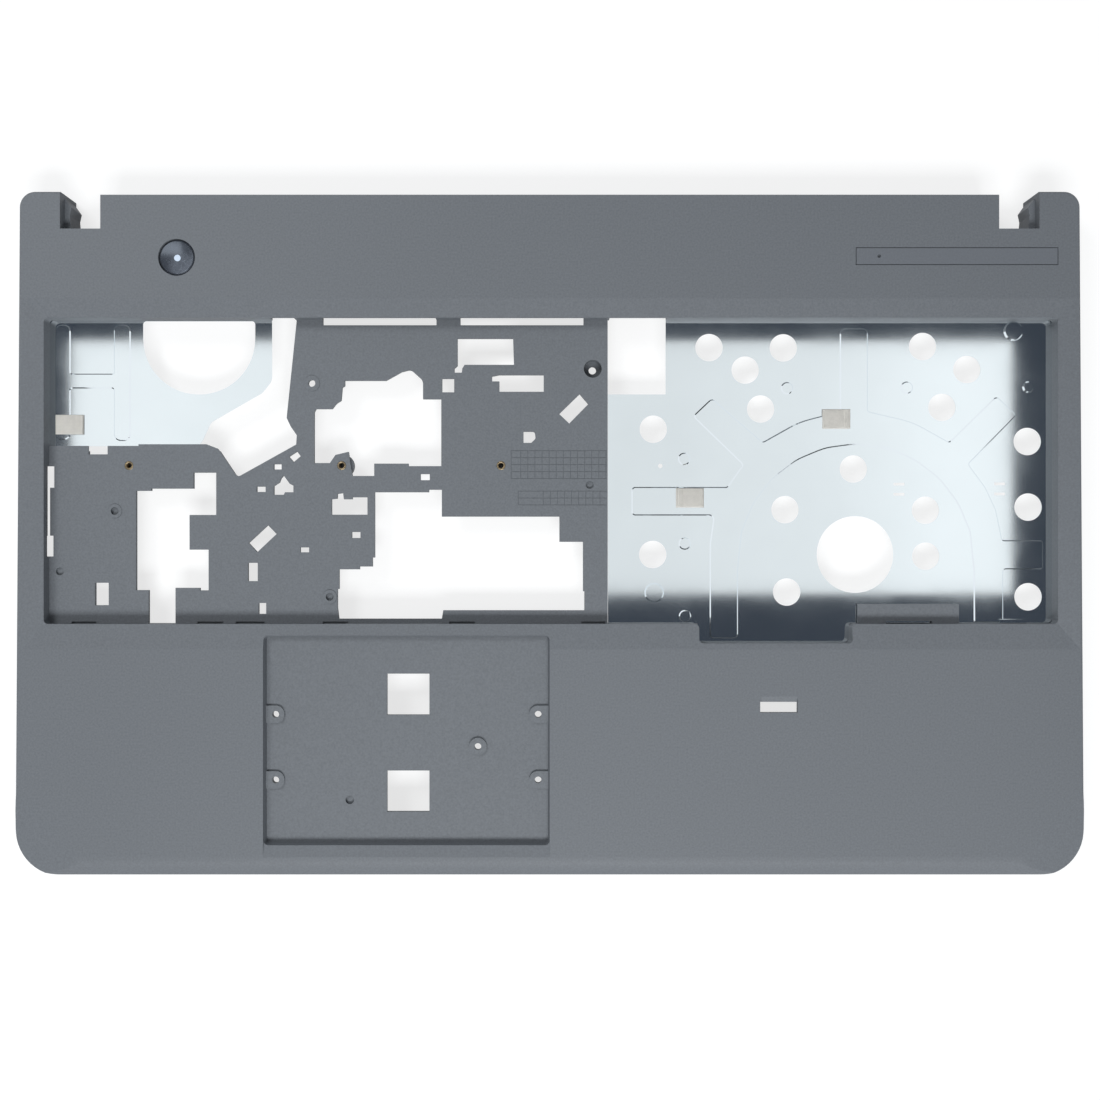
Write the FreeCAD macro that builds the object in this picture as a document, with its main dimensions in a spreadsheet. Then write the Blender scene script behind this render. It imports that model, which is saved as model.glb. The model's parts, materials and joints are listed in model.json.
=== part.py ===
import FreeCAD, Part
import math
import os

import Sketcher

# Palm rest and keyboard surround of a 15.6 inch notebook computer: one moulded cover that holds two
# pressed plates, a power button, an indicator strip, brass inserts and three earthing gaskets.
# X runs to the right, Y to the rear and Z up. The cover stands on the rim of its skirt at Z = 0.

Vector = FreeCAD.Vector
doc = FreeCAD.newDocument("PalmRest")

# Driving dimensions in millimetres: alias, value, what it is
DIMENSIONS = [
    ("cover_width", 377.0, "width across the front corners"),
    ("rear_width", 373.0, "width across the rear corners"),
    ("cover_depth", 241.0, "front edge to the rear of the hinge lobes"),
    ("cover_height", 14.0, "skirt rim to deck"),
    ("deck_thickness", 2.0, "moulded wall of the deck"),
    ("skirt_wall", 2.0, "moulded wall of the skirt"),
    ("front_wall", 3.5, "skirt behind the rolled front edge"),
    ("front_radius", 15.0, "plan radius of the front corners"),
    ("rear_radius", 5.5, "plan radius of the rear corners"),
    ("edge_radius", 0.8, "rounding round the top of the skirt"),
    ("roll_run", 7.0, "how far the rolled front edge reaches back"),
    ("roll_drop", 3.0, "how far the rolled front edge falls"),
    ("facet_fall", 0.18, "fall of a corner facet for each millimetre outwards"),
    ("hinge_lobe_width", 14.3, "rear corner to hinge notch"),
    ("hinge_notch_width", 14.2, "opening for a hinge knuckle"),
    ("hinge_notch_depth", 11.9, "deck edge to the bottom of the notch"),
    ("hinge_lobe_step", 1.2, "lobe standing back of the deck edge"),
    ("bay_width", 357.5, "keyboard opening, left to right"),
    ("bay_depth", 108.0, "keyboard opening, rear to front"),
    ("bay_shift", 0.4, "keyboard opening off the centre line"),
    ("bay_setback", 44.2, "rear of the lobes to the keyboard opening"),
    ("bay_radius", 1.5, "corner radius of the keyboard opening"),
    ("bay_wall", 1.6, "wall that hangs round the keyboard bay"),
    ("bay_floor_drop", 5.5, "deck to bay floor"),
    ("bay_floor_thickness", 1.5, "moulded bay floor"),
    ("bezel_drop", 1.0, "fall of the bevel round the opening"),
    ("bezel_side", 7.4, "bevel width at the sides"),
    ("bezel_rear", 6.6, "bevel width behind the opening"),
    ("bezel_front", 8.8, "bevel width in front of the opening"),
    ("plate_drop", 6.0, "deck to the pressed plates"),
    ("plate_thickness", 0.5, "sheet of the pressed plates"),
    ("plate_lap", 6.5, "plate reaching past the opening"),
    ("emboss_height", 0.4, "step of the pressed stiffening ribs"),
    ("stake_width", 3.0, "flat plastic pin through a plate"),
    ("stake_thickness", 1.4, "flat plastic pin through a plate"),
    ("stake_clearance", 0.15, "slot round a flat plastic pin"),
    ("tray_width", 100.8, "touchpad recess, left to right"),
    ("tray_depth", 74.0, "touchpad recess, rear to front"),
    ("tray_left", -100.8, "left side of the touchpad recess"),
    ("tray_rear", -35.6, "rear side of the touchpad recess"),
    ("tray_drop", 3.0, "deck to the touchpad seat"),
    ("tray_draft", 12.0, "slope of the recess wall in degrees"),
    ("tray_floor", 1.5, "moulded floor of the touchpad recess"),
    ("tray_screw_radius", 1.2, "touchpad screw hole"),
    ("button_x", -131.2, "power button, left of the centre line"),
    ("button_y", 97.3, "power button, rear of the origin"),
    ("button_hole_radius", 6.5, "hole for the power button"),
    ("button_gap", 0.3, "running gap round the power button"),
    ("button_travel", 0.5, "stroke of the power button"),
    ("strip_x", 143.2, "middle of the indicator strip"),
    ("strip_y", 97.7, "middle of the indicator strip"),
    ("strip_length", 71.2, "recess of the indicator strip"),
    ("strip_width", 6.2, "recess of the indicator strip"),
    ("strip_depth", 0.8, "recess of the indicator strip"),
    ("strip_gap", 0.25, "groove round the indicator strip"),
    ("insert_radius", 1.6, "outside of a brass insert"),
    ("insert_bore", 0.8, "thread core of a brass insert"),
    ("insert_length", 3.0, "length of a brass insert"),
    ("boss_radius", 3.2, "screw boss under the deck"),
    ("boss_foot", 1.0, "foot of a screw boss above the rim"),
    ("rib_thickness", 1.0, "rib under the deck"),
    ("rib_height", 3.0, "rib under the deck"),
    ("gasket_length", 10.0, "conductive gasket"),
    ("gasket_width", 7.0, "conductive gasket"),
    ("gasket_height", 0.7, "conductive gasket"),
    ("gasket_fold", 1.4, "fabric turned over one end of a gasket"),
]

sheet = doc.addObject("Spreadsheet::Sheet", "Sizes")
for row, (alias, value, note) in enumerate(DIMENSIONS, start=1):
    sheet.set(f"A{row}", note)
    sheet.set(f"B{row}", str(value))
    sheet.setAlias(f"B{row}", alias)
doc.recompute()


def size(alias):
    """Value of one driving dimension."""
    return float(sheet.get(alias))


# Levels as expressions on the sheet, so that the features follow it
DECK = "Sizes.cover_height"
DECK_UNDERSIDE = "Sizes.cover_height - Sizes.deck_thickness"
BAY_FLOOR = "Sizes.cover_height - Sizes.bay_floor_drop"
BAY_UNDERSIDE = "Sizes.cover_height - Sizes.bay_floor_drop - Sizes.bay_floor_thickness"
PLATE_TOP = "Sizes.cover_height - Sizes.plate_drop"
PLATE_UNDERSIDE = "Sizes.cover_height - Sizes.plate_drop - Sizes.plate_thickness"
TRAY_FLOOR = "Sizes.cover_height - Sizes.tray_drop"
TRAY_UNDERSIDE = "Sizes.cover_height - Sizes.tray_drop - Sizes.tray_floor"

deck_z = size("cover_height")
deck_underside_z = deck_z - size("deck_thickness")
bay_floor_z = deck_z - size("bay_floor_drop")
bay_underside_z = bay_floor_z - size("bay_floor_thickness")
plate_top_z = deck_z - size("plate_drop")
plate_underside_z = plate_top_z - size("plate_thickness")
half_width = size("cover_width") / 2
half_rear = size("rear_width") / 2
half_depth = size("cover_depth") / 2
bay_left = size("bay_shift") - size("bay_width") / 2
bay_rear = half_depth - size("bay_setback")
bay_width = size("bay_width")
bay_depth = size("bay_depth")


def bay(u, v):
    """Point in plan from millimetres right and forward of the opening's rear left corner."""
    return (bay_left + u, bay_rear - v)


# Plan geometry: loops of straight sides, each corner with its own radius


def corner_arc(before, corner, after, radius):
    """Tangent points and middle of the arc that rounds a corner."""
    back = (before - corner).normalize()
    on = (after - corner).normalize()
    half_angle = back.getAngle(on) / 2
    reach = radius / math.tan(half_angle)
    inward = (back + on).normalize()
    middle = corner + inward * (radius / math.sin(half_angle) - radius)
    return corner + back * reach, middle, corner + on * reach


def loop_geometry(points, radius=0.0):
    """Line and arc geometry of a closed loop of (x, y) or (x, y, corner radius) points."""
    corners = [Vector(p[0], p[1], 0) for p in points]
    radii = [p[2] if len(p) > 2 else radius for p in points]
    arcs = []
    for i, corner in enumerate(corners):
        if radii[i] > 0:
            arcs.append(corner_arc(corners[i - 1], corner, corners[(i + 1) % len(corners)], radii[i]))
        else:
            arcs.append((corner, None, corner))
    geometry = []
    for i, (start, middle, end) in enumerate(arcs):
        if middle is not None:
            geometry.append(Part.Arc(start, middle, end))
        following = arcs[(i + 1) % len(arcs)][0]
        if end.distanceToPoint(following) > 1e-6:
            geometry.append(Part.LineSegment(end, following))
    return geometry


def box_loop(x0, y0, x1, y1):
    """Corners of a rectangle between two opposite corners."""
    return [(x0, y0), (x1, y0), (x1, y1), (x0, y1)]


def square_loop(x, y, half):
    """Corners of a square about its centre."""
    return box_loop(x - half, y - half, x + half, y + half)


def bay_loop(points):
    """Loop given in bay coordinates, with any corner radii kept."""
    return [bay(p[0], p[1]) + tuple(p[2:]) for p in points]


def bay_box(u0, v0, u1, v1):
    """Rectangle given in bay coordinates."""
    return bay_loop([(u0, v0), (u1, v0), (u1, v1), (u0, v1)])


# Sketches and features of a body


def origin_plane(body, role):
    """One of the body's own origin planes."""
    return [feature for feature in body.Origin.OriginFeatures if feature.Role == role][0]


def new_body(name):
    """Body whose label is the name of the piece."""
    body = doc.addObject("PartDesign::Body", name)
    body.Label = name
    return body


def plan_sketch(body, name, level, loops=(), circles=(), radius=0.0):
    """Horizontal sketch at a level, with loops of points and (x, y, radius) circles."""
    sketch = body.newObject("Sketcher::SketchObject", name)
    sketch.AttachmentSupport = [(origin_plane(body, "XY_Plane"), "")]
    sketch.MapMode = "FlatFace"
    sketch.setExpression("AttachmentOffset.Base.z", level)
    for points in loops:
        sketch.addGeometry(loop_geometry(points, radius), False)
    for x, y, circle_radius in circles:
        sketch.addGeometry(Part.Circle(Vector(x, y, 0), Vector(0, 0, 1), circle_radius), False)
    return sketch


def side_sketch(body, name, geometry):
    """Sketch on the body's YZ plane: its first axis is Y and its second is Z."""
    sketch = body.newObject("Sketcher::SketchObject", name)
    sketch.AttachmentSupport = [(origin_plane(body, "YZ_Plane"), "")]
    sketch.MapMode = "FlatFace"
    sketch.addGeometry(geometry, False)
    return sketch


def pad(body, name, sketch, length, down=False, taper=0.0):
    """Pad of a sketch, upwards unless told otherwise."""
    feature = body.newObject("PartDesign::Pad", name)
    feature.Profile = sketch
    feature.setExpression("Length", length)
    feature.Reversed = down
    feature.TaperAngle = taper
    feature.Refine = False
    return feature


def pocket(body, name, sketch, length, up=False, taper=0.0):
    """Pocket of a sketch, downwards unless told otherwise."""
    feature = body.newObject("PartDesign::Pocket", name)
    feature.Profile = sketch
    feature.setExpression("Length", length)
    feature.Reversed = up
    feature.TaperAngle = taper
    feature.Refine = False
    return feature


def edges_at(shape, z, inside=lambda x, y: True):
    """Names of the horizontal edges at one height whose middle lies inside a region."""
    names = []
    for index, edge in enumerate(shape.Edges, start=1):
        box = edge.BoundBox
        middle = edge.valueAt((edge.FirstParameter + edge.LastParameter) / 2)
        if abs(box.ZMin - z) < 1e-4 and abs(box.ZMax - z) < 1e-4 and inside(middle.x, middle.y):
            names.append(f"Edge{index}")
    return names


# The moulded cover

flare_start = -half_depth + 29.5
flare_end = -half_depth + 16.5
flare = 0.6
rear_edge = half_depth - size("hinge_lobe_step")
notch_outer = half_rear - size("hinge_lobe_width")
notch_inner = notch_outer - size("hinge_notch_width")
notch_bottom = rear_edge - size("hinge_notch_depth")


def mirrored(points):
    """Right half of an outline followed by its mirror image, front to rear and back."""
    left = [(-p[0],) + tuple(p[1:]) for p in reversed(points)]
    return list(points) + left


def cover_outline(wall=0.0, front=0.0):
    """Plan outline of the cover, drawn in by a wall thickness."""
    return mirrored([
        (half_width - wall, -half_depth + front, size("front_radius") - wall),
        (half_width - wall, flare_end),
        (half_width - flare - wall, flare_start),
        (half_rear - wall, half_depth - wall, size("rear_radius") - wall),
        (notch_outer + wall, half_depth - wall),
        (notch_outer + wall, notch_bottom - wall),
        (notch_inner - wall, notch_bottom - wall),
        (notch_inner - wall, rear_edge - wall),
    ])


# Corner facets: the crease runs from the side of the cover to its front edge
FACET_ALONG_SIDE = 30.0
FACET_ALONG_FRONT = 28.0
roll_radius = (size("roll_run") ** 2 + size("roll_drop") ** 2) / (2 * size("roll_drop"))


def roll_fall(run):
    """Fall of the rolled front edge at a distance in front of its start."""
    return roll_radius - math.sqrt(roll_radius ** 2 - run ** 2)


def add_front_roll(body):
    """Cut the rolled front edge along the whole width."""
    start = -half_depth + size("roll_run")
    middle = size("roll_run") * 0.55
    end = Vector(-half_depth, deck_z - size("roll_drop"), 0)
    outside = -half_depth - 2
    profile = [
        Part.Arc(Vector(start, deck_z, 0), Vector(start - middle, deck_z - roll_fall(middle), 0), end),
        Part.LineSegment(end, Vector(outside, end.y - 2, 0)),
        Part.LineSegment(Vector(outside, end.y - 2, 0), Vector(outside, deck_z + 1, 0)),
        Part.LineSegment(Vector(outside, deck_z + 1, 0), Vector(start, deck_z + 1, 0)),
        Part.LineSegment(Vector(start, deck_z + 1, 0), Vector(start, deck_z, 0)),
    ]
    sketch = side_sketch(body, "FrontRollProfile", profile)
    roll = pocket(body, "FrontRoll", sketch, "Sizes.cover_width + 10")
    roll.SideType = "Symmetric"


def add_corner_facet(body, name, side):
    """Cut the flat facet of one front corner; side is -1 on the left and 1 on the right."""
    crease_start = Vector(side * half_width, -half_depth + FACET_ALONG_SIDE, deck_z)
    crease_end = Vector(side * (half_width - FACET_ALONG_FRONT), -half_depth, deck_z)
    along = (crease_end - crease_start).normalize()
    up = Vector(0, 0, 1)
    normal = along.cross(up)
    length = crease_start.distanceToPoint(crease_end)
    lean = length / FACET_ALONG_SIDE
    flat = length - size("roll_run") * lean
    middle = size("roll_run") * 0.5
    over = 6.0
    past = Vector(length + 4, -size("roll_drop") - 3, 0)
    profile = [
        Part.LineSegment(Vector(-over, 0, 0), Vector(flat, 0, 0)),
        Part.Arc(Vector(flat, 0, 0), Vector(flat + middle * lean, -roll_fall(middle), 0),
                 Vector(length, -size("roll_drop"), 0)),
        Part.LineSegment(Vector(length, -size("roll_drop"), 0), past),
        Part.LineSegment(past, Vector(past.x, over, 0)),
        Part.LineSegment(Vector(past.x, over, 0), Vector(-over, over, 0)),
        Part.LineSegment(Vector(-over, over, 0), Vector(-over, 0, 0)),
    ]
    sketch = body.newObject("Sketcher::SketchObject", name + "Profile")
    sketch.AttachmentSupport = [(origin_plane(body, "XY_Plane"), "")]
    sketch.MapMode = "FlatFace"
    turn = FreeCAD.Rotation(along, up, normal, "ZXY")
    sketch.AttachmentOffset = FreeCAD.Placement(crease_start, turn)
    sketch.addGeometry(profile, False)
    outward = Vector(side, -FACET_ALONG_FRONT / FACET_ALONG_SIDE, 0).normalize()
    facet = pocket(body, name, sketch, "Sizes.front_radius * 2")
    facet.UseCustomVector = True
    facet.Direction = Vector(outward.x, outward.y, -size("facet_fall"))
    facet.AlongSketchNormal = False


def add_cavity(body):
    """Hollow out the underside, lower under the corner facets."""
    wall = size("skirt_wall")
    front = size("front_wall")
    inner_x = half_width - wall
    inner_y = -half_depth + front
    cut = 4.0
    corner = [
        (half_width - FACET_ALONG_FRONT - cut, inner_y),
        (inner_x - flare, flare_start - cut),
        (half_rear - wall, half_depth - wall, size("rear_radius") - wall),
        (notch_outer + wall, half_depth - wall),
        (notch_outer + wall, notch_bottom - wall),
        (notch_inner - wall, notch_bottom - wall),
        (notch_inner - wall, rear_edge - wall),
    ]
    sketch = plan_sketch(body, "CavityOutline", "0", [mirrored(corner)])
    pocket(body, "Cavity", sketch, DECK_UNDERSIDE, up=True)
    reliefs = []
    for side in (-1, 1):
        relief = [
            (side * (half_width - FACET_ALONG_FRONT - 2 * cut), inner_y),
            (side * inner_x, inner_y, size("front_radius") - wall),
            (side * inner_x, flare_end),
            (side * (inner_x - flare), flare_start),
        ]
        reliefs.append(relief)
    sketch = plan_sketch(body, "CornerReliefOutline", "0", reliefs)
    pocket(body, "CornerRelief", sketch, TRAY_UNDERSIDE, up=True)


# Holes right through the cover, gathered by the features below and cut together
THROUGH_LOOPS = []
THROUGH_CIRCLES = []


def add_through_holes(body):
    """Cut every gathered hole from the deck down."""
    sketch = plan_sketch(body, "ThroughHoleLoops", DECK, THROUGH_LOOPS, THROUGH_CIRCLES)
    pocket(body, "ThroughHoles", sketch, DECK)


# Keyboard bay, in bay coordinates: right and forward of the opening's rear left corner

BITE_LEFT = 231.0
BITE_RIGHT = 285.0
BITE_REACH = 6.8
WEB_RIGHT = 199.0
opening_radius = size("bay_radius")


def bay_outline(grow=0.0, radius=0.0):
    """Opening with the bite in its front edge, grown by a wall."""
    return bay_loop([
        (-grow, -grow, radius),
        (bay_width + grow, -grow, radius),
        (bay_width + grow, bay_depth + grow, radius),
        (BITE_RIGHT + grow, bay_depth + grow, radius),
        (BITE_RIGHT + grow, bay_depth + BITE_REACH + grow, radius),
        (BITE_LEFT - grow, bay_depth + BITE_REACH + grow, radius),
        (BITE_LEFT - grow, bay_depth + grow, radius),
        (-grow, bay_depth + grow, radius),
    ])


# Where the moulded floor stops and the pressed plates show
FAN_SIDE_OPENING = [
    (0, 0), (88.2, 0), (84.6, 34.8), (86.0, 37.8), (88.2, 41.0), (88.0, 44.3),
    (67.0, 56.0, 1.5), (60.2, 45.8, 1.5), (56.0, 44.2), (45.8, 44.2), (31.8, 44.2), (31.8, 44.8),
    (20.8, 44.8), (20.8, 47.8), (14.0, 47.8), (14.0, 44.8), (0, 44.8),
]
DRIVE_SIDE_OPENING = [
    (WEB_RIGHT, 0), (bay_width, 0), (bay_width, bay_depth), (BITE_RIGHT, bay_depth),
    (BITE_RIGHT, bay_depth + BITE_REACH), (BITE_LEFT, bay_depth + BITE_REACH), (BITE_LEFT, bay_depth),
    (WEB_RIGHT, bay_depth),
]

# Cut-outs for connectors, cables and card slots in the left panel and the centre web
CABLE_WINDOW = [
    (30.9, 60.8), (36.3, 60.8), (36.3, 60.0), (51.4, 60.0), (51.4, 54.3), (59.5, 54.3), (59.5, 69.4),
    (50.0, 69.4), (50.0, 81.8), (56.8, 81.8), (56.8, 96.3), (53.6, 96.3), (53.6, 95.4), (45.0, 95.4),
    (45.0, bay_depth), (35.4, bay_depth), (35.4, 96.2), (30.9, 96.2),
]
CENTRE_WINDOW = [
    (105.3, 21.5), (120.0, 21.5), (125.6, 18.4), (128.8, 17.6, 2.0), (133.2, 21.5, 3.0), (133.2, 28.1),
    (139.7, 28.1), (139.7, 52.0), (128.0, 52.0), (128.0, 51.1), (115.8, 51.1), (115.8, 55.5),
    (108.0, 55.5), (106.6, 46.9), (102.0, 48.0), (100.0, 50.9), (94.4, 50.9), (94.4, 32.8),
    (95.0, 31.6), (100.8, 31.6), (102.3, 29.7), (104.0, 28.6), (104.4, 24.0), (105.3, 23.4),
]
LOWER_WINDOW = [
    (116.0, 61.3), (135.3, 61.3), (135.3, 60.4), (139.9, 60.4), (139.9, 70.0), (181.8, 70.0),
    (181.8, 79.0), (190.2, 79.0), (190.2, 96.6), (190.7, 96.6), (190.7, 103.4), (140.4, 103.4),
    (139.9, 106.4), (103.2, 106.4), (102.7, 102.5), (102.7, 95.8), (103.3, 95.8), (103.3, 88.8),
    (110.6, 88.8), (110.6, 87.8), (115.2, 87.8), (115.2, 84.6), (116.0, 84.6),
]
REAR_WINDOW = [
    (145.5, 6.5), (165.3, 6.5), (165.6, 15.9), (148.0, 15.9), (147.2, 17.2), (147.0, 18.7), (144.4, 18.7),
    (144.4, 17.2), (145.5, 16.2),
]
TONGUED_WINDOW = [
    (157.8, 20.0), (160.4, 19.5), (176.2, 19.5), (176.2, 25.5), (160.4, 25.5), (160.4, 21.8), (157.8, 21.8),
]
NUBBED_WINDOW = [
    (100.6, 63.8), (102.6, 63.6), (102.7, 61.9), (104.7, 61.6), (105.0, 63.8), (108.0, 63.8),
    (108.0, 63.1), (113.4, 63.1), (113.4, 69.3), (100.6, 69.3),
]
KEYED_HOLE = [
    (83.5, 55.3), (85.7, 58.3), (87.0, 59.0), (87.0, 61.3), (84.0, 61.3), (83.6, 62.2), (80.0, 62.2),
    (80.0, 59.1), (82.0, 57.8), (82.5, 56.4),
]
SLANTED_SLOT_RIGHT = [(189.0, 26.3), (192.1, 29.9), (185.3, 36.8), (181.7, 33.4)]
SLANTED_SLOT_LEFT = [(77.9, 73.0), (81.0, 76.2), (74.1, 82.7), (71.0, 79.4)]
SLANTED_HOLE = [(88.3, 46.7), (89.6, 48.5), (87.1, 50.6), (85.4, 48.6)]
D_HOLE = [(169.0, 39.7), (173.0, 39.7, 0.9), (173.3, 42.2, 0.9), (171.8, 43.7, 0.6), (169.0, 43.7)]
SQUARE_HOLES = [
    (16.3, 93.6, 21.2, 101.6), (140.0, 20.8, 144.3, 25.7), (132.3, 54.8, 135.6, 57.0),
    (80.0, 51.3, 82.8, 53.2), (73.9, 59.3, 77.1, 61.2), (70.8, 86.5, 74.3, 93.0),
    (74.6, 100.8, 77.3, 104.7), (107.8, 75.5, 110.9, 77.6), (89.4, 81.0, 92.6, 82.7),
]
REAR_SLOTS = [(97.5, 138.0), (146.5, 190.4)]
REAR_GAPS = [(79.5, 88.0), (199.5, 219.7)]
FRONT_SLOTS = [(8.0, 16.8), (52.8, 62.0), (66.5, 76.7), (97.5, 106.5), (142.5, 151.7), (189.6, 198.2)]
PANEL_HOOKS = [(25.8, 29.3), (49.6, 53.0)]
REAR_SLOT_DEPTH = 1.8
FRONT_SLOT_DEPTH = 0.6
FRONT_SLOT_SINK = 0.9
EDGE_SLOT_HEIGHT = 2.5
FRONT_SLOT_HEIGHT = 2.0

# Screw points of the bay floor: right, forward
WEB_INSERTS = {"web_insert_left": (28.4, 51.8), "web_insert_middle": (104.2, 51.8),
               "web_insert_right": (161.0, 51.8)}
WEB_BOSS_RADIUS = 4.1
KEYBOARD_SCREW_LEFT = (93.6, 22.5)
KEYBOARD_SCREW_RIGHT = (193.7, 17.3)
SCREW_CUP_RADIUS = 3.2
SCREW_CUP_DEPTH = 4.4
SCREW_CUP_WALL = 1.2
LEFT_SCREW_RADIUS = 1.25
RIGHT_SCREW_RADIUS = 1.35
SPOT_BOSSES = [(23.4, 68.0), (100.0, 98.6)]
SPOT_RADIUS = 2.5
SPOT_HEIGHT = 0.25
SPOT_DIMPLE = 1.4
PEG_HOLES = [(3.8, 89.5), (192.6, 58.7)]
PEG_RADIUS = 1.4


def add_keyboard_bay(body):
    """Hang the bay wall and floor under the deck, then open the bay and bevel its edge."""
    wall = size("bay_wall")
    tub = plan_sketch(body, "BayTubOutline", BAY_UNDERSIDE, [bay_outline(wall)])
    pad(body, "BayTub", tub, "Sizes.bay_floor_drop + Sizes.bay_floor_thickness - Sizes.deck_thickness")
    add_bezel(body)
    opening = plan_sketch(body, "BayOpening", DECK, [bay_outline(0, opening_radius)])
    pocket(body, "Bay", opening, "Sizes.bay_floor_drop")


def add_bezel(body):
    """Bevel that falls to the opening on all four sides, mitred at the corners."""
    inner = bay_box(0, 0, bay_width, bay_depth)
    low = plan_sketch(body, "BezelInner", DECK + " - Sizes.bezel_drop", [inner])
    rise = 1.2
    outer = bay_box(-size("bezel_side") * rise, -size("bezel_rear") * rise,
                    bay_width + size("bezel_side") * rise, bay_depth + size("bezel_front") * rise)
    high = plan_sketch(body, "BezelOuter", DECK + f" + Sizes.bezel_drop * {rise - 1:.1f}", [outer])
    bezel = body.newObject("PartDesign::SubtractiveLoft", "Bezel")
    bezel.Profile = low
    bezel.Sections = [high]
    bezel.Ruled = True
    bezel.Refine = False


def add_floor_cutouts(body):
    """Cut the moulded floor where plates, connectors and cables show through it."""
    loops = [bay_loop(loop) for loop in (
        FAN_SIDE_OPENING, DRIVE_SIDE_OPENING, CABLE_WINDOW, CENTRE_WINDOW, LOWER_WINDOW, REAR_WINDOW,
        TONGUED_WINDOW, NUBBED_WINDOW, KEYED_HOLE, SLANTED_SLOT_RIGHT, SLANTED_SLOT_LEFT, SLANTED_HOLE,
        D_HOLE)]
    loops += [bay_box(*hole) for hole in SQUARE_HOLES]
    sketch = plan_sketch(body, "FloorCutoutLoops", BAY_FLOOR, loops)
    pocket(body, "FloorCutouts", sketch, "Sizes.bay_floor_thickness")


def add_wall_slots(body):
    """Slots through the bay wall for the tabs of the keyboard."""
    reach = size("bay_wall") + 0.2
    rear = [bay_box(u0, -reach, u1, REAR_SLOT_DEPTH) for u0, u1 in REAR_SLOTS]
    rear += [bay_box(u0, -reach, u1, 0.2) for u0, u1 in REAR_GAPS]
    sketch = plan_sketch(body, "RearSlotLoops", BAY_UNDERSIDE, rear)
    pocket(body, "RearSlots", sketch,
           "Sizes.bay_floor_drop + Sizes.bay_floor_thickness - Sizes.deck_thickness", up=True)
    front = [bay_box(u0, bay_depth - FRONT_SLOT_DEPTH, u1, bay_depth + reach) for u0, u1 in FRONT_SLOTS]
    sketch = plan_sketch(body, "FrontSlotLoops", BAY_FLOOR + f" - {FRONT_SLOT_SINK}", front)
    pocket(body, "FrontSlots", sketch, f"{FRONT_SLOT_SINK + FRONT_SLOT_HEIGHT}", up=True)
    sketch = plan_sketch(body, "EdgeSlotLoops", BAY_UNDERSIDE, [EDGE_SLOT_LOOP])
    pocket(body, "EdgeSlots", sketch, f"Sizes.bay_floor_thickness + {EDGE_SLOT_HEIGHT}", up=True)


EDGE_SLOT_LOOP = bay_loop([
    (-1.2, 52.0), (1.8, 52.0), (1.8, 59.7), (0.3, 59.7), (0.3, 76.8), (1.5, 76.8), (1.5, 84.2), (-1.4, 84.2),
    (-1.4, 76.8), (-1.2, 76.8),
])

# Pressed plates, in bay coordinates
plate_lap = size("plate_lap")
plate_seat_gap = 0.2
FAN_PLATE_FRONT = 46.4
FAN_PLATE = [
    (-plate_lap, -plate_lap), (79.3, -plate_lap), (79.3, 21.5, 4.0), (75.8, 25.9, 3.0),
    (57.5, 36.4, 3.0), (54.5, 43.0, 3.0), (51.5, FAN_PLATE_FRONT, 1.5), (21.5, FAN_PLATE_FRONT),
    (21.5, 44.9), (13.4, 44.9), (13.4, FAN_PLATE_FRONT), (-plate_lap, FAN_PLATE_FRONT),
]
DRIVE_PLATE_FRONT = bay_depth + BITE_REACH + plate_lap
DRIVE_PLATE = [
    (WEB_RIGHT + 0.1, 26.4), (219.7, 26.4), (219.7, -plate_lap),
    (bay_width + plate_lap, -plate_lap, 1.0), (bay_width + plate_lap, DRIVE_PLATE_FRONT, 1.0),
    (WEB_RIGHT + 0.1, DRIVE_PLATE_FRONT, 1.0),
]
FAN_STAKES = [(-4.2, 8.0, False), (-4.2, 38.0, False), (12.0, -4.2, True), (70.0, -4.2, True)]
DRIVE_STAKES = [
    (232.0, -4.2, True), (290.0, -4.2, True), (345.0, -4.2, True), (bay_width + 4.2, 30.0, False),
    (bay_width + 4.2, 85.0, False), (212.0, bay_depth + 4.4, True), (310.0, bay_depth + 4.4, True),
]
STAKE_HEAD_HEIGHT = 0.5


def stake_loops(stakes, grow=0.0):
    """Plan of the flat pins that hold a plate, grown by a clearance or a head."""
    loops = []
    for u, v, along in stakes:
        half_u, half_v = size("stake_width") / 2 + grow, size("stake_thickness") / 2 + grow
        if not along:
            half_u, half_v = half_v, half_u
        loops.append(bay_box(u - half_u, v - half_v, u + half_u, v + half_v))
    return loops


# Ledge moulded on the front wall over the drive plate: left, right, reach
LEDGES = [(287.8, 323.8, 6.9)]
LEDGE_SLOT = (297.8, 314.2)


def add_plate_seats(body):
    """Trim the bay wall to the plates and add the pins that hold them."""
    gap = plate_seat_gap
    fan_seat = bay_box(-plate_lap - gap, -plate_lap - gap, 79.3 + gap, FAN_PLATE_FRONT + gap)
    drive_seat = bay_box(WEB_RIGHT, -plate_lap - gap, bay_width + plate_lap + gap, DRIVE_PLATE_FRONT + gap)
    sketch = plan_sketch(body, "PlateSeatLoops", BAY_UNDERSIDE, [fan_seat, drive_seat])
    pocket(body, "PlateSeats", sketch, PLATE_TOP + " - (" + BAY_UNDERSIDE + ")", up=True)
    stakes = FAN_STAKES + DRIVE_STAKES
    shoulders = plan_sketch(body, "StakeShoulderLoops", PLATE_TOP, stake_loops(stakes, 1.0))
    pad(body, "StakeShoulders", shoulders, "Sizes.plate_drop - Sizes.deck_thickness")
    pins = plan_sketch(body, "StakePinLoops", PLATE_UNDERSIDE, stake_loops(stakes))
    pad(body, "StakePins", pins, "Sizes.plate_thickness")
    heads = plan_sketch(body, "StakeHeadLoops", PLATE_UNDERSIDE, stake_loops(stakes, 0.7))
    pad(body, "StakeHeads", heads, f"{STAKE_HEAD_HEIGHT}", down=True)


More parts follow.
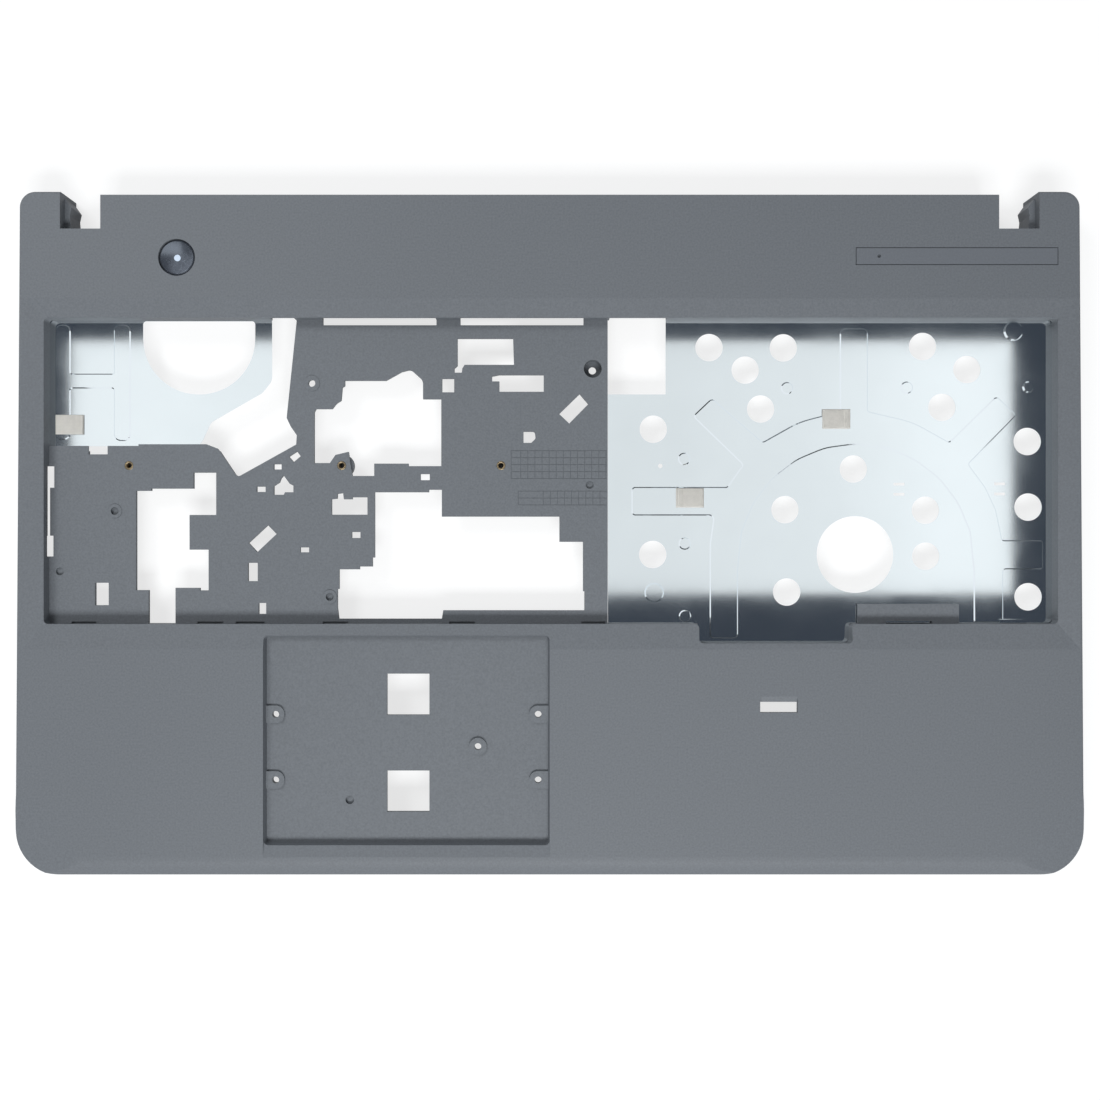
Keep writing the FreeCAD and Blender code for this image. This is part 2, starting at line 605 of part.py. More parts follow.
def add_ledges(body):
    """Ledges on the front wall, one with a slot for a keyboard tab."""
    rise = 0.3
    loops = [bay_box(u0, bay_depth - reach, u1, bay_depth + 0.5) for u0, u1, reach in LEDGES]
    sketch = plan_sketch(body, "LedgeLoops", PLATE_TOP + f" + {rise} + Sizes.emboss_height", loops)
    pad(body, "Ledges", sketch, "0.9")
    slot = bay_box(LEDGE_SLOT[0], bay_depth - 0.8, LEDGE_SLOT[1], bay_depth + size("bay_wall") + 0.2)
    sketch = plan_sketch(body, "LedgeSlotLoop", PLATE_TOP, [slot])
    pocket(body, "LedgeSlot", sketch, "3", up=True)


def add_web_bosses(body):
    """Bosses under the web for the inserts, and the two screw points of the keyboard."""
    foot = size("insert_length") + 1.0 - size("bay_floor_thickness")
    circles = [bay(*place) + (WEB_BOSS_RADIUS if name == "web_insert_middle" else size("boss_radius"),)
               for name, place in WEB_INSERTS.items()]
    sketch = plan_sketch(body, "WebBossLoops", BAY_FLOOR, circles=circles)
    pad(body, "WebBosses", sketch, f"Sizes.bay_floor_thickness + {foot}", down=True)
    cup = bay(*KEYBOARD_SCREW_RIGHT)
    left = bay(*KEYBOARD_SCREW_LEFT)
    outer = SCREW_CUP_RADIUS + SCREW_CUP_WALL
    sketch = plan_sketch(body, "ScrewCupLoop", BAY_FLOOR,
                         [box_loop(cup[0] - outer, cup[1] - outer, cup[0] + outer, cup[1] + outer)])
    pad(body, "ScrewCup", sketch, f"{SCREW_CUP_DEPTH + SCREW_CUP_WALL}", down=True)
    sketch = plan_sketch(body, "ScrewPadLoop", BAY_FLOOR + f" + {SPOT_HEIGHT}",
                         circles=[left + (SCREW_CUP_RADIUS - 0.4,)] + [bay(*p) + (SPOT_RADIUS,) for p in SPOT_BOSSES])
    pad(body, "ScrewPads", sketch, f"{SPOT_HEIGHT + 0.5}", down=True)
    sketch = plan_sketch(body, "CupBoreLoop", BAY_FLOOR, circles=[cup + (SCREW_CUP_RADIUS,)])
    pocket(body, "CupBore", sketch, f"{SCREW_CUP_DEPTH}")
    THROUGH_CIRCLES.extend([cup + (RIGHT_SCREW_RADIUS,), left + (LEFT_SCREW_RADIUS,)])
    blind = [bay(*p) + (SPOT_DIMPLE,) for p in SPOT_BOSSES] + [bay(*p) + (PEG_RADIUS,) for p in PEG_HOLES]
    sketch = plan_sketch(body, "SpotDimpleLoops", BAY_FLOOR + f" + {SPOT_HEIGHT}", circles=blind)
    pocket(body, "SpotDimples", sketch, f"{SPOT_HEIGHT + 0.9}")
    bores = [bay(*place) + (size("insert_radius"),) for place in WEB_INSERTS.values()]
    sketch = plan_sketch(body, "WebInsertLoops", BAY_FLOOR, circles=bores)
    pocket(body, "WebInsertBores", sketch, "Sizes.insert_length")


# Touchpad recess, in millimetres right and forward of its rear left corner
tray_left = size("tray_left")
tray_rear = size("tray_rear")
TRAY_RADIUS = 1.6
TRAY_WALL = 1.6
TRAY_APRON = 4.0
TRAY_APRON_DROP = 0.45
TRAY_WINDOWS = [(43.2, 13.8, 58.2, 28.4), (43.2, 48.1, 58.2, 62.7)]
TRAY_SCREW_COLUMNS = (3.9, 96.7)
TRAY_SCREW_ROWS = (28.1, 51.3)
TRAY_MIDDLE_SCREW = (75.4, 39.5)
TRAY_TAB_RADIUS = 3.1
TRAY_TAB_HEIGHT = 0.7
TRAY_PEG = (30.0, 58.5)


def tray(u, v):
    """Point in plan from millimetres right and forward of the recess's rear left corner."""
    return (tray_left + u, tray_rear - v)


def tray_box(u0, v0, u1, v1):
    """Rectangle given in tray coordinates."""
    return box_loop(*tray(u0, v0), *tray(u1, v1))


def add_touchpad_tray(body):
    """Sunk seat of the touchpad, with its screw tabs, windows and pins."""
    width = size("tray_width")
    depth = size("tray_depth")
    rim = tray_box(0, 0, width, depth)
    tub = tray_box(-TRAY_WALL, -TRAY_WALL, width + TRAY_WALL, depth + TRAY_WALL)
    sketch = plan_sketch(body, "TrayTubOutline", TRAY_UNDERSIDE, [tub])
    pad(body, "TrayTub", sketch, "Sizes.tray_drop + Sizes.tray_floor - Sizes.deck_thickness")
    start = tray(0, depth + TRAY_APRON)[1]
    edge = tray(0, depth - 1)[1]
    fall = deck_z - TRAY_APRON_DROP * (TRAY_APRON + 1) / TRAY_APRON
    corners = [Vector(start, deck_z, 0), Vector(edge, fall, 0), Vector(edge, deck_z + 1, 0),
               Vector(start, deck_z + 1, 0)]
    profile = [Part.LineSegment(corners[i], corners[(i + 1) % 4]) for i in range(4)]
    sketch = side_sketch(body, "TrayApronProfile", profile)
    sketch.AttachmentOffset = FreeCAD.Placement(Vector(0, 0, tray_left), FreeCAD.Rotation())
    pocket(body, "TrayApron", sketch, "Sizes.tray_width", up=True)
    sketch = plan_sketch(body, "TrayOutline", DECK, [rim], radius=TRAY_RADIUS)
    pocket(body, "Tray", sketch, "Sizes.tray_drop", taper=-size("tray_draft"))
    screws = [(u, v) for u in TRAY_SCREW_COLUMNS for v in TRAY_SCREW_ROWS]
    tabs = []
    for u, v in screws:
        side = -0.5 if u < width / 2 else width + 0.5
        tab = [tray(side, v - TRAY_TAB_RADIUS), tray(side, v + TRAY_TAB_RADIUS)]
        reach = u + TRAY_TAB_RADIUS if u < width / 2 else u - TRAY_TAB_RADIUS
        tab += [tray(reach, v + TRAY_TAB_RADIUS) + (TRAY_TAB_RADIUS * 0.95,),
                tray(reach, v - TRAY_TAB_RADIUS) + (TRAY_TAB_RADIUS * 0.95,)]
        tabs.append(tab)
    middle = tray(*TRAY_MIDDLE_SCREW)
    sketch = plan_sketch(body, "TrayTabLoops", TRAY_FLOOR, tabs, [middle + (TRAY_TAB_RADIUS,)])
    pad(body, "TrayTabs", sketch, f"{TRAY_TAB_HEIGHT}")
    THROUGH_CIRCLES.extend([tray(u, v) + (size("tray_screw_radius"),) for u, v in screws])
    THROUGH_CIRCLES.append(middle + (size("tray_screw_radius"),))
    THROUGH_LOOPS.extend([tray_box(*window) for window in TRAY_WINDOWS])
    sketch = plan_sketch(body, "TrayPegLoop", TRAY_FLOOR, circles=[tray(*TRAY_PEG) + (1.5,)])
    pocket(body, "TrayPeg", sketch, "1")


# Fingerprint reader slot
READER_X = 80.6
READER_LENGTH = 13.2
READER_REAR = -57.1
READER_SLOPE = 2.0
READER_SLOT = 3.7


def add_reader_slot(body):
    """Slot with a sloped face behind it, for a finger to slide over the reader."""
    rear = READER_REAR
    lip = rear - READER_SLOPE
    corners = [Vector(rear, deck_z, 0), Vector(lip, deck_z - 0.9, 0), Vector(lip - READER_SLOT, deck_z - 0.9, 0),
               Vector(lip - READER_SLOT, deck_z + 1, 0), Vector(rear, deck_z + 1, 0)]
    profile = [Part.LineSegment(corners[i], corners[(i + 1) % 5]) for i in range(5)]
    sketch = side_sketch(body, "ReaderSlopeProfile", profile)
    left = READER_X - READER_LENGTH / 2
    sketch.AttachmentOffset = FreeCAD.Placement(Vector(0, 0, left), FreeCAD.Rotation())
    pocket(body, "ReaderSlope", sketch, f"{READER_LENGTH}", up=True)
    slot = box_loop(left, lip - READER_SLOT, left + READER_LENGTH, lip)
    THROUGH_LOOPS.append(slot)


# Power button well
button_x = size("button_x")
button_y = size("button_y")
BUTTON_FLANGE = 1.3
BUTTON_FLANGE_THICKNESS = 0.8
BUTTON_FLANGE_DROP = 0.05
CARRIER_TOP = 2.6
CARRIER_THICKNESS = 1.0
CARRIER_POST = 1.3
CARRIER_REACH = 11.8
flange_radius = size("button_hole_radius") + BUTTON_FLANGE
carrier_top_z = deck_underside_z - CARRIER_TOP
carrier_posts = [(button_x + CARRIER_REACH * math.cos(math.radians(a)),
                  button_y + CARRIER_REACH * math.sin(math.radians(a))) for a in (0, 180, 270)]


def add_button_well(body):
    """Hole and fixing posts of the power button."""
    THROUGH_CIRCLES.append((button_x, button_y, size("button_hole_radius")))
    posts = [square_loop(x, y, CARRIER_POST + 0.9) for x, y in carrier_posts]
    sketch = plan_sketch(body, "CarrierPostLoops", DECK_UNDERSIDE, posts)
    pad(body, "CarrierPosts", sketch, f"{CARRIER_TOP}", down=True)
    pins = [square_loop(x, y, CARRIER_POST) for x, y in carrier_posts]
    sketch = plan_sketch(body, "CarrierPinLoops", DECK_UNDERSIDE, pins)
    pad(body, "CarrierPins", sketch, f"{CARRIER_TOP + CARRIER_THICKNESS + 0.4}", down=True)


def add_strip_recess(body):
    """Shallow recess of the indicator strip."""
    half_length = size("strip_length") / 2
    half_strip = size("strip_width") / 2
    x, y = size("strip_x"), size("strip_y")
    recess = box_loop(x - half_length, y - half_strip, x + half_length, y + half_strip)
    sketch = plan_sketch(body, "StripRecessLoop", DECK, [recess])
    pocket(body, "StripRecess", sketch, "Sizes.strip_depth")


def pinhole_x():
    """Place of the pinhole along the indicator strip."""
    return size("strip_x") - size("strip_length") / 2 + 8.2


# Underside: bosses for the bottom case, ribs and snap hooks
BASE_BOSSES = {
    "base_insert_rear_left": (-160.0, 88.0),
    "base_insert_rear_right": (160.0, 88.0),
    "base_insert_front_left": (-160.0, -106.0),
    "base_insert_front_right": (160.0, -106.0),
    "base_insert_touchpad_left": (-114.0, -106.0),
    "base_insert_touchpad_right": (14.0, -106.0),
}
RIB_ROWS = [(-165.0, -104.5, -76.0), (3.5, 165.0, -76.0), (-120.0, 95.0, 108.0)]
RIB_COLUMNS = [(-150.0, -116.0, -41.0), (-125.0, -116.0, -41.0), (25.0, -116.0, -41.0), (60.0, -116.0, -47.0),
               (110.0, -116.0, -47.0), (150.0, -116.0, -47.0), (-90.0, 86.0, 117.0), (-20.0, 86.0, 117.0),
               (20.0, 86.0, 117.0), (90.0, 86.0, 117.0)]
HOOK_LENGTH = 9.0
HOOK_STAND = 1.2
HOOK_HEIGHT = 2.0
FRONT_HOOKS = (-150.0, -90.0, -30.0, 30.0, 90.0, 150.0)
SIDE_HOOKS = (-70.0, -15.0, 40.0, 85.0)


def add_underside(body):
    """Screw bosses, ribs and snap hooks under the deck."""
    ribs = []
    half_rib = size("rib_thickness") / 2
    for x0, x1, y in RIB_ROWS:
        ribs.append(box_loop(x0, y - half_rib, x1, y + half_rib))
    sketch = plan_sketch(body, "RibRowLoops", DECK_UNDERSIDE, ribs)
    pad(body, "RibRows", sketch, "Sizes.rib_height", down=True)
    ribs = [box_loop(x - half_rib, y0, x + half_rib, y1) for x, y0, y1 in RIB_COLUMNS]
    sketch = plan_sketch(body, "RibColumnLoops", DECK_UNDERSIDE, ribs)
    pad(body, "RibColumns", sketch, "Sizes.rib_height", down=True)
    circles = [(x, y, size("boss_radius")) for x, y in BASE_BOSSES.values()]
    sketch = plan_sketch(body, "BaseBossLoops", "Sizes.boss_foot", circles=circles)
    pad(body, "BaseBosses", sketch, DECK_UNDERSIDE + " - Sizes.boss_foot")
    bores = [(x, y, size("insert_radius")) for x, y in BASE_BOSSES.values()]
    sketch = plan_sketch(body, "BaseInsertLoops", "Sizes.boss_foot", circles=bores)
    pocket(body, "BaseInsertBores", sketch, "Sizes.insert_length + 1", up=True)
    hooks = []
    for x in FRONT_HOOKS:
        inner = -half_depth + size("front_wall")
        hooks.append(box_loop(x - HOOK_LENGTH / 2, inner - 0.5, x + HOOK_LENGTH / 2, inner + HOOK_STAND))
    for y in SIDE_HOOKS:
        along = (y + half_depth) / size("cover_depth")
        inner = half_width + (half_rear - half_width) * along - size("skirt_wall")
        for side in (-1, 1):
            hooks.append(box_loop(side * (inner + 0.8), y - HOOK_LENGTH / 2,
                                  side * (inner - HOOK_STAND), y + HOOK_LENGTH / 2))
    sketch = plan_sketch(body, "HookLoops", "2", hooks)
    pad(body, "Hooks", sketch, f"{HOOK_HEIGHT}")


def add_hinge_cheeks(body):
    """Cheek of each lobe that reaches under the hinge knuckle, with its corner cut back."""
    loops = []
    for side in (-1, 1):
        reach = 2.4
        loops.append([
            (side * (notch_outer + 0.5), notch_bottom - 0.5), (side * (notch_outer + 0.5), rear_edge - 0.3),
            (side * (notch_outer - 0.2), rear_edge - 0.3), (side * (notch_outer - reach), rear_edge - 3.4),
            (side * (notch_outer - reach + 0.6), rear_edge - 6.2),
            (side * (notch_outer - reach), notch_bottom - 0.5),
        ])
    sketch = plan_sketch(body, "HingeCheekLoops", "1", loops)
    pad(body, "HingeCheeks", sketch, DECK_UNDERSIDE + " - 3")


cover = new_body("palm_rest_cover")
outline = plan_sketch(cover, "CoverOutline", "0", [cover_outline()])
pad(cover, "Block", outline, "Sizes.cover_height")
doc.recompute()
block = cover.Tip
top_edges = edges_at(block.Shape, deck_z, lambda x, y: y < notch_bottom - 5 or abs(x) > notch_outer + 1)
rounding = cover.newObject("PartDesign::Fillet", "TopEdge")
rounding.Base = (block, top_edges)
rounding.setExpression("Radius", "Sizes.edge_radius")
add_front_roll(cover)
add_corner_facet(cover, "FacetLeft", -1)
add_corner_facet(cover, "FacetRight", 1)
add_cavity(cover)
add_hinge_cheeks(cover)
add_underside(cover)
add_touchpad_tray(cover)
add_reader_slot(cover)
add_button_well(cover)
add_strip_recess(cover)
add_keyboard_bay(cover)
add_web_bosses(cover)
add_plate_seats(cover)
add_ledges(cover)
add_wall_slots(cover)
add_through_holes(cover)
add_floor_cutouts(cover)
cover.Tip.Refine = True
doc.recompute()


# Pressed plates

DRIVE_HOLES = [
    (235.2, 9.7), (261.7, 9.8), (248.1, 17.7), (253.6, 31.6), (215.3, 38.8), (286.7, 53.0), (262.3, 67.5),
    (215.1, 83.5), (262.9, 96.9), (311.4, 9.3), (327.2, 17.5), (318.3, 31.0), (312.4, 67.7), (312.5, 84.1),
    (348.7, 43.2), (349.0, 66.6), (349.0, 98.6),
]
DRIVE_HOLE_RADIUS = 4.9
SPINDLE_HOLE = (287.3, 83.5)
SPINDLE_RADIUS = 13.7
DRIVE_DIMPLES = [(263.0, 24.2), (226.3, 49.4), (226.5, 79.6), (305.7, 24.0), (226.6, 105.5)]
DIMPLE_RADIUS = 2.2
DRIVE_CUPS = [(343.7, 3.8), (215.6, 97.1)]
CUP_RADIUS = 3.5
TOOLING_HOLE = (217.8, 51.9)
RIVET = (349.0, 23.8)
RIVET_RADIUS = 2.1
LANCED_TABS = [(303.0, 60.2), (338.9, 60.1)]
TAB_WIDTH = 4.0
TAB_DEPTH = 4.6
EMBOSS_RADIUS = 1.4
DRIVE_EMBOSS = [
    (235.4, 113.4, 1.4), (235.4, 80.0), (236.4, 73.0), (236.8, 69.6, 1.4), (207.5, 69.6, 1.4),
    (207.5, 59.4, 1.4), (241.6, 59.4, 1.0), (247.2, 51.5, 1.0), (229.3, 34.2, 1.4), (236.2, 27.7, 1.4),
    (254.3, 43.4, 1.0),
]
DRIVE_EMBOSS_RIGHT = [
    (320.8, 43.4, 1.0), (337.7, 26.9, 1.4), (344.9, 33.8, 1.4), (327.7, 51.3, 1.0), (333.8, 59.6),
    (337.5, 67.5), (339.7, 78.4, 1.0), (354.3, 78.4, 1.2), (354.3, 88.8, 1.2), (340.1, 88.8, 1.0),
    (340.1, bay_depth - 0.3), (329.6, bay_depth - 0.3),
]
EMBOSS_CENTRE = (287.5, 86.2)
EMBOSS_INNER = 42.0
EMBOSS_OUTER = 54.0
EMBOSS_ARM = (281.8, 291.8, 2.8)
FAN_EMBOSS = [
    (2.0, 1.5, 2.4), (7.5, 1.5, 2.4), (7.5, 19.0, 0.7), (22.9, 19.0, 0.7), (22.9, 1.5, 2.4), (28.9, 1.5, 2.4),
    (28.9, 43.0, 2.4), (22.9, 43.0, 2.4), (22.9, 24.3, 0.7), (7.5, 24.3, 0.7), (7.5, 42.6, 2.4), (2.0, 42.6, 2.4),
]
FAN_OPENING = [(33.3, 0.3, 1.2), (73.3, 0.3, 1.2), (73.3, 26.4, 19.9), (33.3, 26.4, 19.9)]


def polar(centre, radius, degrees):
    """Point on a circle, degrees from the right towards the rear, in bay coordinates."""
    angle = math.radians(degrees)
    return (centre[0] + radius * math.cos(angle), centre[1] - radius * math.sin(angle))


def drive_emboss_geometry(inset=0.0):
    """Closed outline of the raised ring and its arms on the drive plate."""
    left_foot = DRIVE_EMBOSS[0]
    u0, u1, arm_top = EMBOSS_ARM
    ring_left = EMBOSS_CENTRE[0] - EMBOSS_INNER
    spread = 3
    outer = [polar(EMBOSS_CENTRE, EMBOSS_OUTER, a) for a in (127, 112)]
    outer_right = [polar(EMBOSS_CENTRE, EMBOSS_OUTER, a) for a in (68, 53)]
    inner = [polar(EMBOSS_CENTRE, EMBOSS_INNER, a) for a in range(15, 166, 15)]
    points = list(DRIVE_EMBOSS)
    points += [p + (30.0,) for p in outer[1:]]
    points += [(u0, 32.4, 1.0), (u0, arm_top, 2.0), (u1, arm_top, 2.0), (u1, 32.4, 1.0)]
    points += [p + (30.0,) for p in outer_right[:1]]
    points += list(DRIVE_EMBOSS_RIGHT)
    points += [(EMBOSS_CENTRE[0] + EMBOSS_INNER, EMBOSS_CENTRE[1] + spread)]
    points += [p + (20.0 if 20 < i < 160 else 0,) for i, p in zip(range(15, 166, 15), inner)]
    points += [(ring_left, EMBOSS_CENTRE[1] + spread), (ring_left, left_foot[1], 1.4)]
    return points


def add_stake_slots(body, stakes):
    """Slots for the flat pins that hold a plate."""
    loops = stake_loops(stakes, size("stake_clearance"))
    sketch = plan_sketch(body, "StakeSlotLoops", PLATE_TOP, loops)
    pocket(body, "StakeSlots", sketch, "Sizes.plate_thickness")


def add_emboss(body, loop):
    """Raise a closed outline on the plate."""
    raised = plan_sketch(body, "EmbossOutline", PLATE_TOP, [loop])
    pad(body, "Emboss", raised, "Sizes.emboss_height", taper=-45.0)


drive_plate = new_body("drive_bay_plate")
blank = plan_sketch(drive_plate, "PlateOutline", PLATE_UNDERSIDE, [bay_loop(DRIVE_PLATE)])
pad(drive_plate, "Plate", blank, "Sizes.plate_thickness")
hem = bay_box(WEB_RIGHT + 0.1, 27.5, WEB_RIGHT + 1.5, bay_depth - plate_seat_gap)
pad(drive_plate, "Hem", plan_sketch(drive_plate, "HemLoop", PLATE_TOP, [hem]), "Sizes.plate_thickness")
add_emboss(drive_plate, bay_loop(drive_emboss_geometry()))
front_tab = bay_box(338.5, bay_depth - 1.4, 348.0, bay_depth - plate_seat_gap)
pad(drive_plate, "FrontTab", plan_sketch(drive_plate, "FrontTabLoop", PLATE_TOP, [front_tab]), "1.2")
bumps = [bay(*p) + (DIMPLE_RADIUS,) for p in DRIVE_DIMPLES]
pad(drive_plate, "Dimples", plan_sketch(drive_plate, "DimpleLoops", PLATE_TOP, circles=bumps),
    "Sizes.emboss_height", taper=-45.0)
rings = [bay(*p) + (CUP_RADIUS,) for p in DRIVE_CUPS] + [bay(*RIVET) + (RIVET_RADIUS,)]
pad(drive_plate, "Cups", plan_sketch(drive_plate, "CupLoops", PLATE_TOP, circles=rings), "0.7", taper=-35.0)
holes = [bay(*p) + (DRIVE_HOLE_RADIUS,) for p in DRIVE_HOLES]
holes += [bay(*SPINDLE_HOLE) + (SPINDLE_RADIUS,), bay(*TOOLING_HOLE) + (0.8,)]
tabs = []
for u, v in LANCED_TABS:
    tabs.append(bay_box(u - TAB_WIDTH / 2, v - TAB_DEPTH / 2, u + TAB_WIDTH / 2, v - TAB_DEPTH / 2 + 1.0))
    tabs.append(bay_box(u - TAB_WIDTH / 2, v + TAB_DEPTH / 2 - 1.0, u + TAB_WIDTH / 2, v + TAB_DEPTH / 2))
pocket(drive_plate, "PlateHoles", plan_sketch(drive_plate, "PlateHoleLoops", DECK, tabs, holes), DECK)
add_stake_slots(drive_plate, DRIVE_STAKES)

fan_plate = new_body("fan_bay_plate")
blank = plan_sketch(fan_plate, "PlateOutline", PLATE_UNDERSIDE, [bay_loop(FAN_PLATE)])
pad(fan_plate, "Plate", blank, "Sizes.plate_thickness")
add_emboss(fan_plate, bay_loop(FAN_EMBOSS))
opening = plan_sketch(fan_plate, "FanOpeningLoop", DECK, [bay_loop(FAN_OPENING)])
pocket(fan_plate, "FanOpening", opening, DECK)
add_stake_slots(fan_plate, FAN_STAKES)


# Small pieces


def make_gasket(name, u, v, fold_at_right):
    """Foam gasket in conductive fabric, with the fabric's end folded over one side."""
    length, width = size("gasket_length"), size("gasket_width")
    body = new_body(name)
    level = PLATE_TOP + " + Sizes.emboss_height"
    block = plan_sketch(body, "BlockOutline", level, [bay_box(u, v, u + length, v + width)])
    pad(body, "Block", block, "Sizes.gasket_height")
    fold_u = u + length - size("gasket_fold") - 0.8 if fold_at_right else u + 0.8
    fold = bay_box(fold_u, v, fold_u + size("gasket_fold"), v + width)
    sketch = plan_sketch(body, "FoldLoop", level + " + Sizes.gasket_height", [fold])
    pad(body, "Fold", sketch, "0.2")
    return body


def make_insert(name, x, y, level, up):
    """Brass insert: a knurled sleeve, its thread drawn as the core bore."""
    body = new_body(name)
    rings = [(x, y, size("insert_radius")), (x, y, size("insert_bore"))]
    sleeve = plan_sketch(body, "SleeveLoops", level, circles=rings)
    pad(body, "Sleeve", sleeve, "Sizes.insert_length", down=not up)
    return body


make_gasket("fan_bay_gasket", 2.2, 33.7, False)
make_gasket("drive_bay_gasket_rear", 275.5, 31.7, True)
make_gasket("drive_bay_gasket_left", 223.3, 59.8, False)
for name, place in WEB_INSERTS.items():
    make_insert(name, *bay(*place), BAY_FLOOR, False)
for name, (x, y) in BASE_BOSSES.items():
    make_insert(name, x, y, "Sizes.boss_foot", True)

strip = new_body("indicator_strip")
half_length = size("strip_length") / 2 - size("strip_gap")
half_strip = size("strip_width") / 2 - size("strip_gap")
plan = box_loop(size("strip_x") - half_length, size("strip_y") - half_strip,
                size("strip_x") + half_length, size("strip_y") + half_strip)
lens = plan_sketch(strip, "StripOutline", DECK, [plan])
pad(strip, "Strip", lens, "Sizes.strip_depth", down=True)
pinhole = plan_sketch(strip, "PinholeLoop", DECK, circles=[(pinhole_x(), size("strip_y"), 0.6)])
pocket(strip, "Pinhole", pinhole, "Sizes.strip_depth")

# Power button: a dished cap with a flange that stops it under the deck
cap_radius = size("button_hole_radius") - size("button_gap")
RIM_CHAMFER = 0.6
DISH_DEPTH = 0.9
LIGHT_RADIUS = 1.15
LIGHT_GAP = 0.05
cap_top = deck_z - 0.1
flange_top = deck_underside_z - BUTTON_FLANGE_DROP
flange_bottom = flange_top - BUTTON_FLANGE_THICKNESS
STEM_RADIUS = 3.0
stem_bottom = carrier_top_z + 0.2
dish_radius = cap_radius - RIM_CHAMFER


def revolved(body, name, geometry):
    """Revolve a profile of (radius, height) about the axis of the power button."""
    sketch = body.newObject("Sketcher::SketchObject", name + "Profile")
    sketch.AttachmentSupport = [(origin_plane(body, "XZ_Plane"), "")]
    sketch.MapMode = "FlatFace"
    sketch.addGeometry(geometry, False)
    feature = body.newObject("PartDesign::Revolution", name)
    feature.Profile = sketch
    feature.ReferenceAxis = (sketch, ["V_Axis"])
    feature.Angle = 360
    return feature


def dish_height(radius):
    """Height of the concave dish at a radius."""
    return cap_top - DISH_DEPTH * (1 - (radius / dish_radius) ** 2)


bore = LIGHT_RADIUS + LIGHT_GAP
outer_wall = [Vector(dish_radius, cap_top, 0), Vector(cap_radius, cap_top - RIM_CHAMFER, 0),
              Vector(cap_radius, flange_top, 0), Vector(flange_radius, flange_top, 0),
              Vector(flange_radius, flange_bottom, 0), Vector(STEM_RADIUS, flange_bottom, 0),
              Vector(STEM_RADIUS, stem_bottom, 0), Vector(bore, stem_bottom, 0), Vector(bore, dish_height(bore), 0)]
profile = [Part.LineSegment(outer_wall[i], outer_wall[i + 1]) for i in range(len(outer_wall) - 1)]
middle = (bore + dish_radius) / 2
profile.append(Part.Arc(outer_wall[-1], Vector(middle, dish_height(middle), 0), outer_wall[0]))
button = new_body("power_button")
revolved(button, "Cap", profile)
button.Placement = FreeCAD.Placement(Vector(button_x, button_y, 0), FreeCAD.Rotation())

guide = new_body("power_button_light_guide")
light = plan_sketch(guide, "LightLoop", "0", circles=[(button_x, button_y, LIGHT_RADIUS)])
light.setExpression("AttachmentOffset.Base.z", f"{stem_bottom}")
pad(guide, "Light", light, f"{dish_height(0) - stem_bottom + 0.05}")

carrier = new_body("power_button_carrier")
arm_hole = STEM_RADIUS + 0.4
wing = CARRIER_REACH + 2.6
frame_loop = [
    (button_x - wing, button_y + 3.0), (button_x - wing, button_y - 3.0), (button_x - 3.0, button_y - wing),
    (button_x + 3.0, button_y - wing), (button_x + wing, button_y - 3.0), (button_x + wing, button_y + 3.0),
    (button_x + 5.0, button_y + 5.0), (button_x - 5.0, button_y + 5.0),
]
pin_holes = [square_loop(x, y, CARRIER_POST + 0.1) for x, y in carrier_posts]
frame = plan_sketch(carrier, "CarrierOutline", "0", [frame_loop] + pin_holes, [(button_x, button_y, arm_hole)])
frame.setExpression("AttachmentOffset.Base.z", DECK_UNDERSIDE + f" - {CARRIER_TOP}")
pad(carrier, "Frame", frame, f"{CARRIER_THICKNESS}", down=True)
doc.recompute()


# Check every object, then write one file for each piece
for item in doc.Objects:
    if "Invalid" in item.State or "Error" in item.State:
        raise RuntimeError(f"{item.Name} ({item.Label}) failed: {item.State}")

os.makedirs("parts", exist_ok=True)
for body in doc.findObjects("PartDesign::Body"):
    shape = body.Shape
    if shape.isNull() or not shape.isValid() or not shape.Solids:
        raise RuntimeError(f"{body.Label} has no valid solid")
    shape.exportStep(f"parts/{body.Label}.step")
    print(f"{body.Label}: {len(shape.Solids)} solid, {shape.Volume:.0f} mm3")
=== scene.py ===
"""Looks of the palm rest: finishes, fabric gaskets, threads and the studio it is photographed in."""

from __future__ import annotations

import json
import logging
import math
from dataclasses import dataclass, field
from enum import Enum
from typing import Callable, Sequence, Union

import bpy
import numpy as np
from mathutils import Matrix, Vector

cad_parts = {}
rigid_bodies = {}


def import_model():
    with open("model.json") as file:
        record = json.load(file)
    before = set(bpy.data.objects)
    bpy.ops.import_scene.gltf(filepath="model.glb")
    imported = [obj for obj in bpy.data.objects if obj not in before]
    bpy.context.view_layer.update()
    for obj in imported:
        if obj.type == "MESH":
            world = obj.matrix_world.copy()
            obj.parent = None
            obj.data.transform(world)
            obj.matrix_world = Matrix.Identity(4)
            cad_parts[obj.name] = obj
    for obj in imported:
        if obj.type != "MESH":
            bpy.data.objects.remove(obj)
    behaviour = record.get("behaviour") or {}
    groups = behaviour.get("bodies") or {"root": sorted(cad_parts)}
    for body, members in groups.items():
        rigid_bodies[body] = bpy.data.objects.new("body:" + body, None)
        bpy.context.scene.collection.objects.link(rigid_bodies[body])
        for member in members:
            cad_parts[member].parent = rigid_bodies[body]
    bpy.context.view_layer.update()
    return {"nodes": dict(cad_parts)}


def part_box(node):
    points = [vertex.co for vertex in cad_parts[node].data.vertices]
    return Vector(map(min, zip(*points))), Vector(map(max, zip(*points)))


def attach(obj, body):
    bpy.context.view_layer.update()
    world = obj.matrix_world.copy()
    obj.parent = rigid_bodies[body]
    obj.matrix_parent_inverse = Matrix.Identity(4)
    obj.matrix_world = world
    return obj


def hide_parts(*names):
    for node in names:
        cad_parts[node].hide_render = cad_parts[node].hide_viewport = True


LOG = logging.getLogger("palm_rest")
MM = 0.001
Number = Union[int, float]
Colour = tuple[float, float, float]
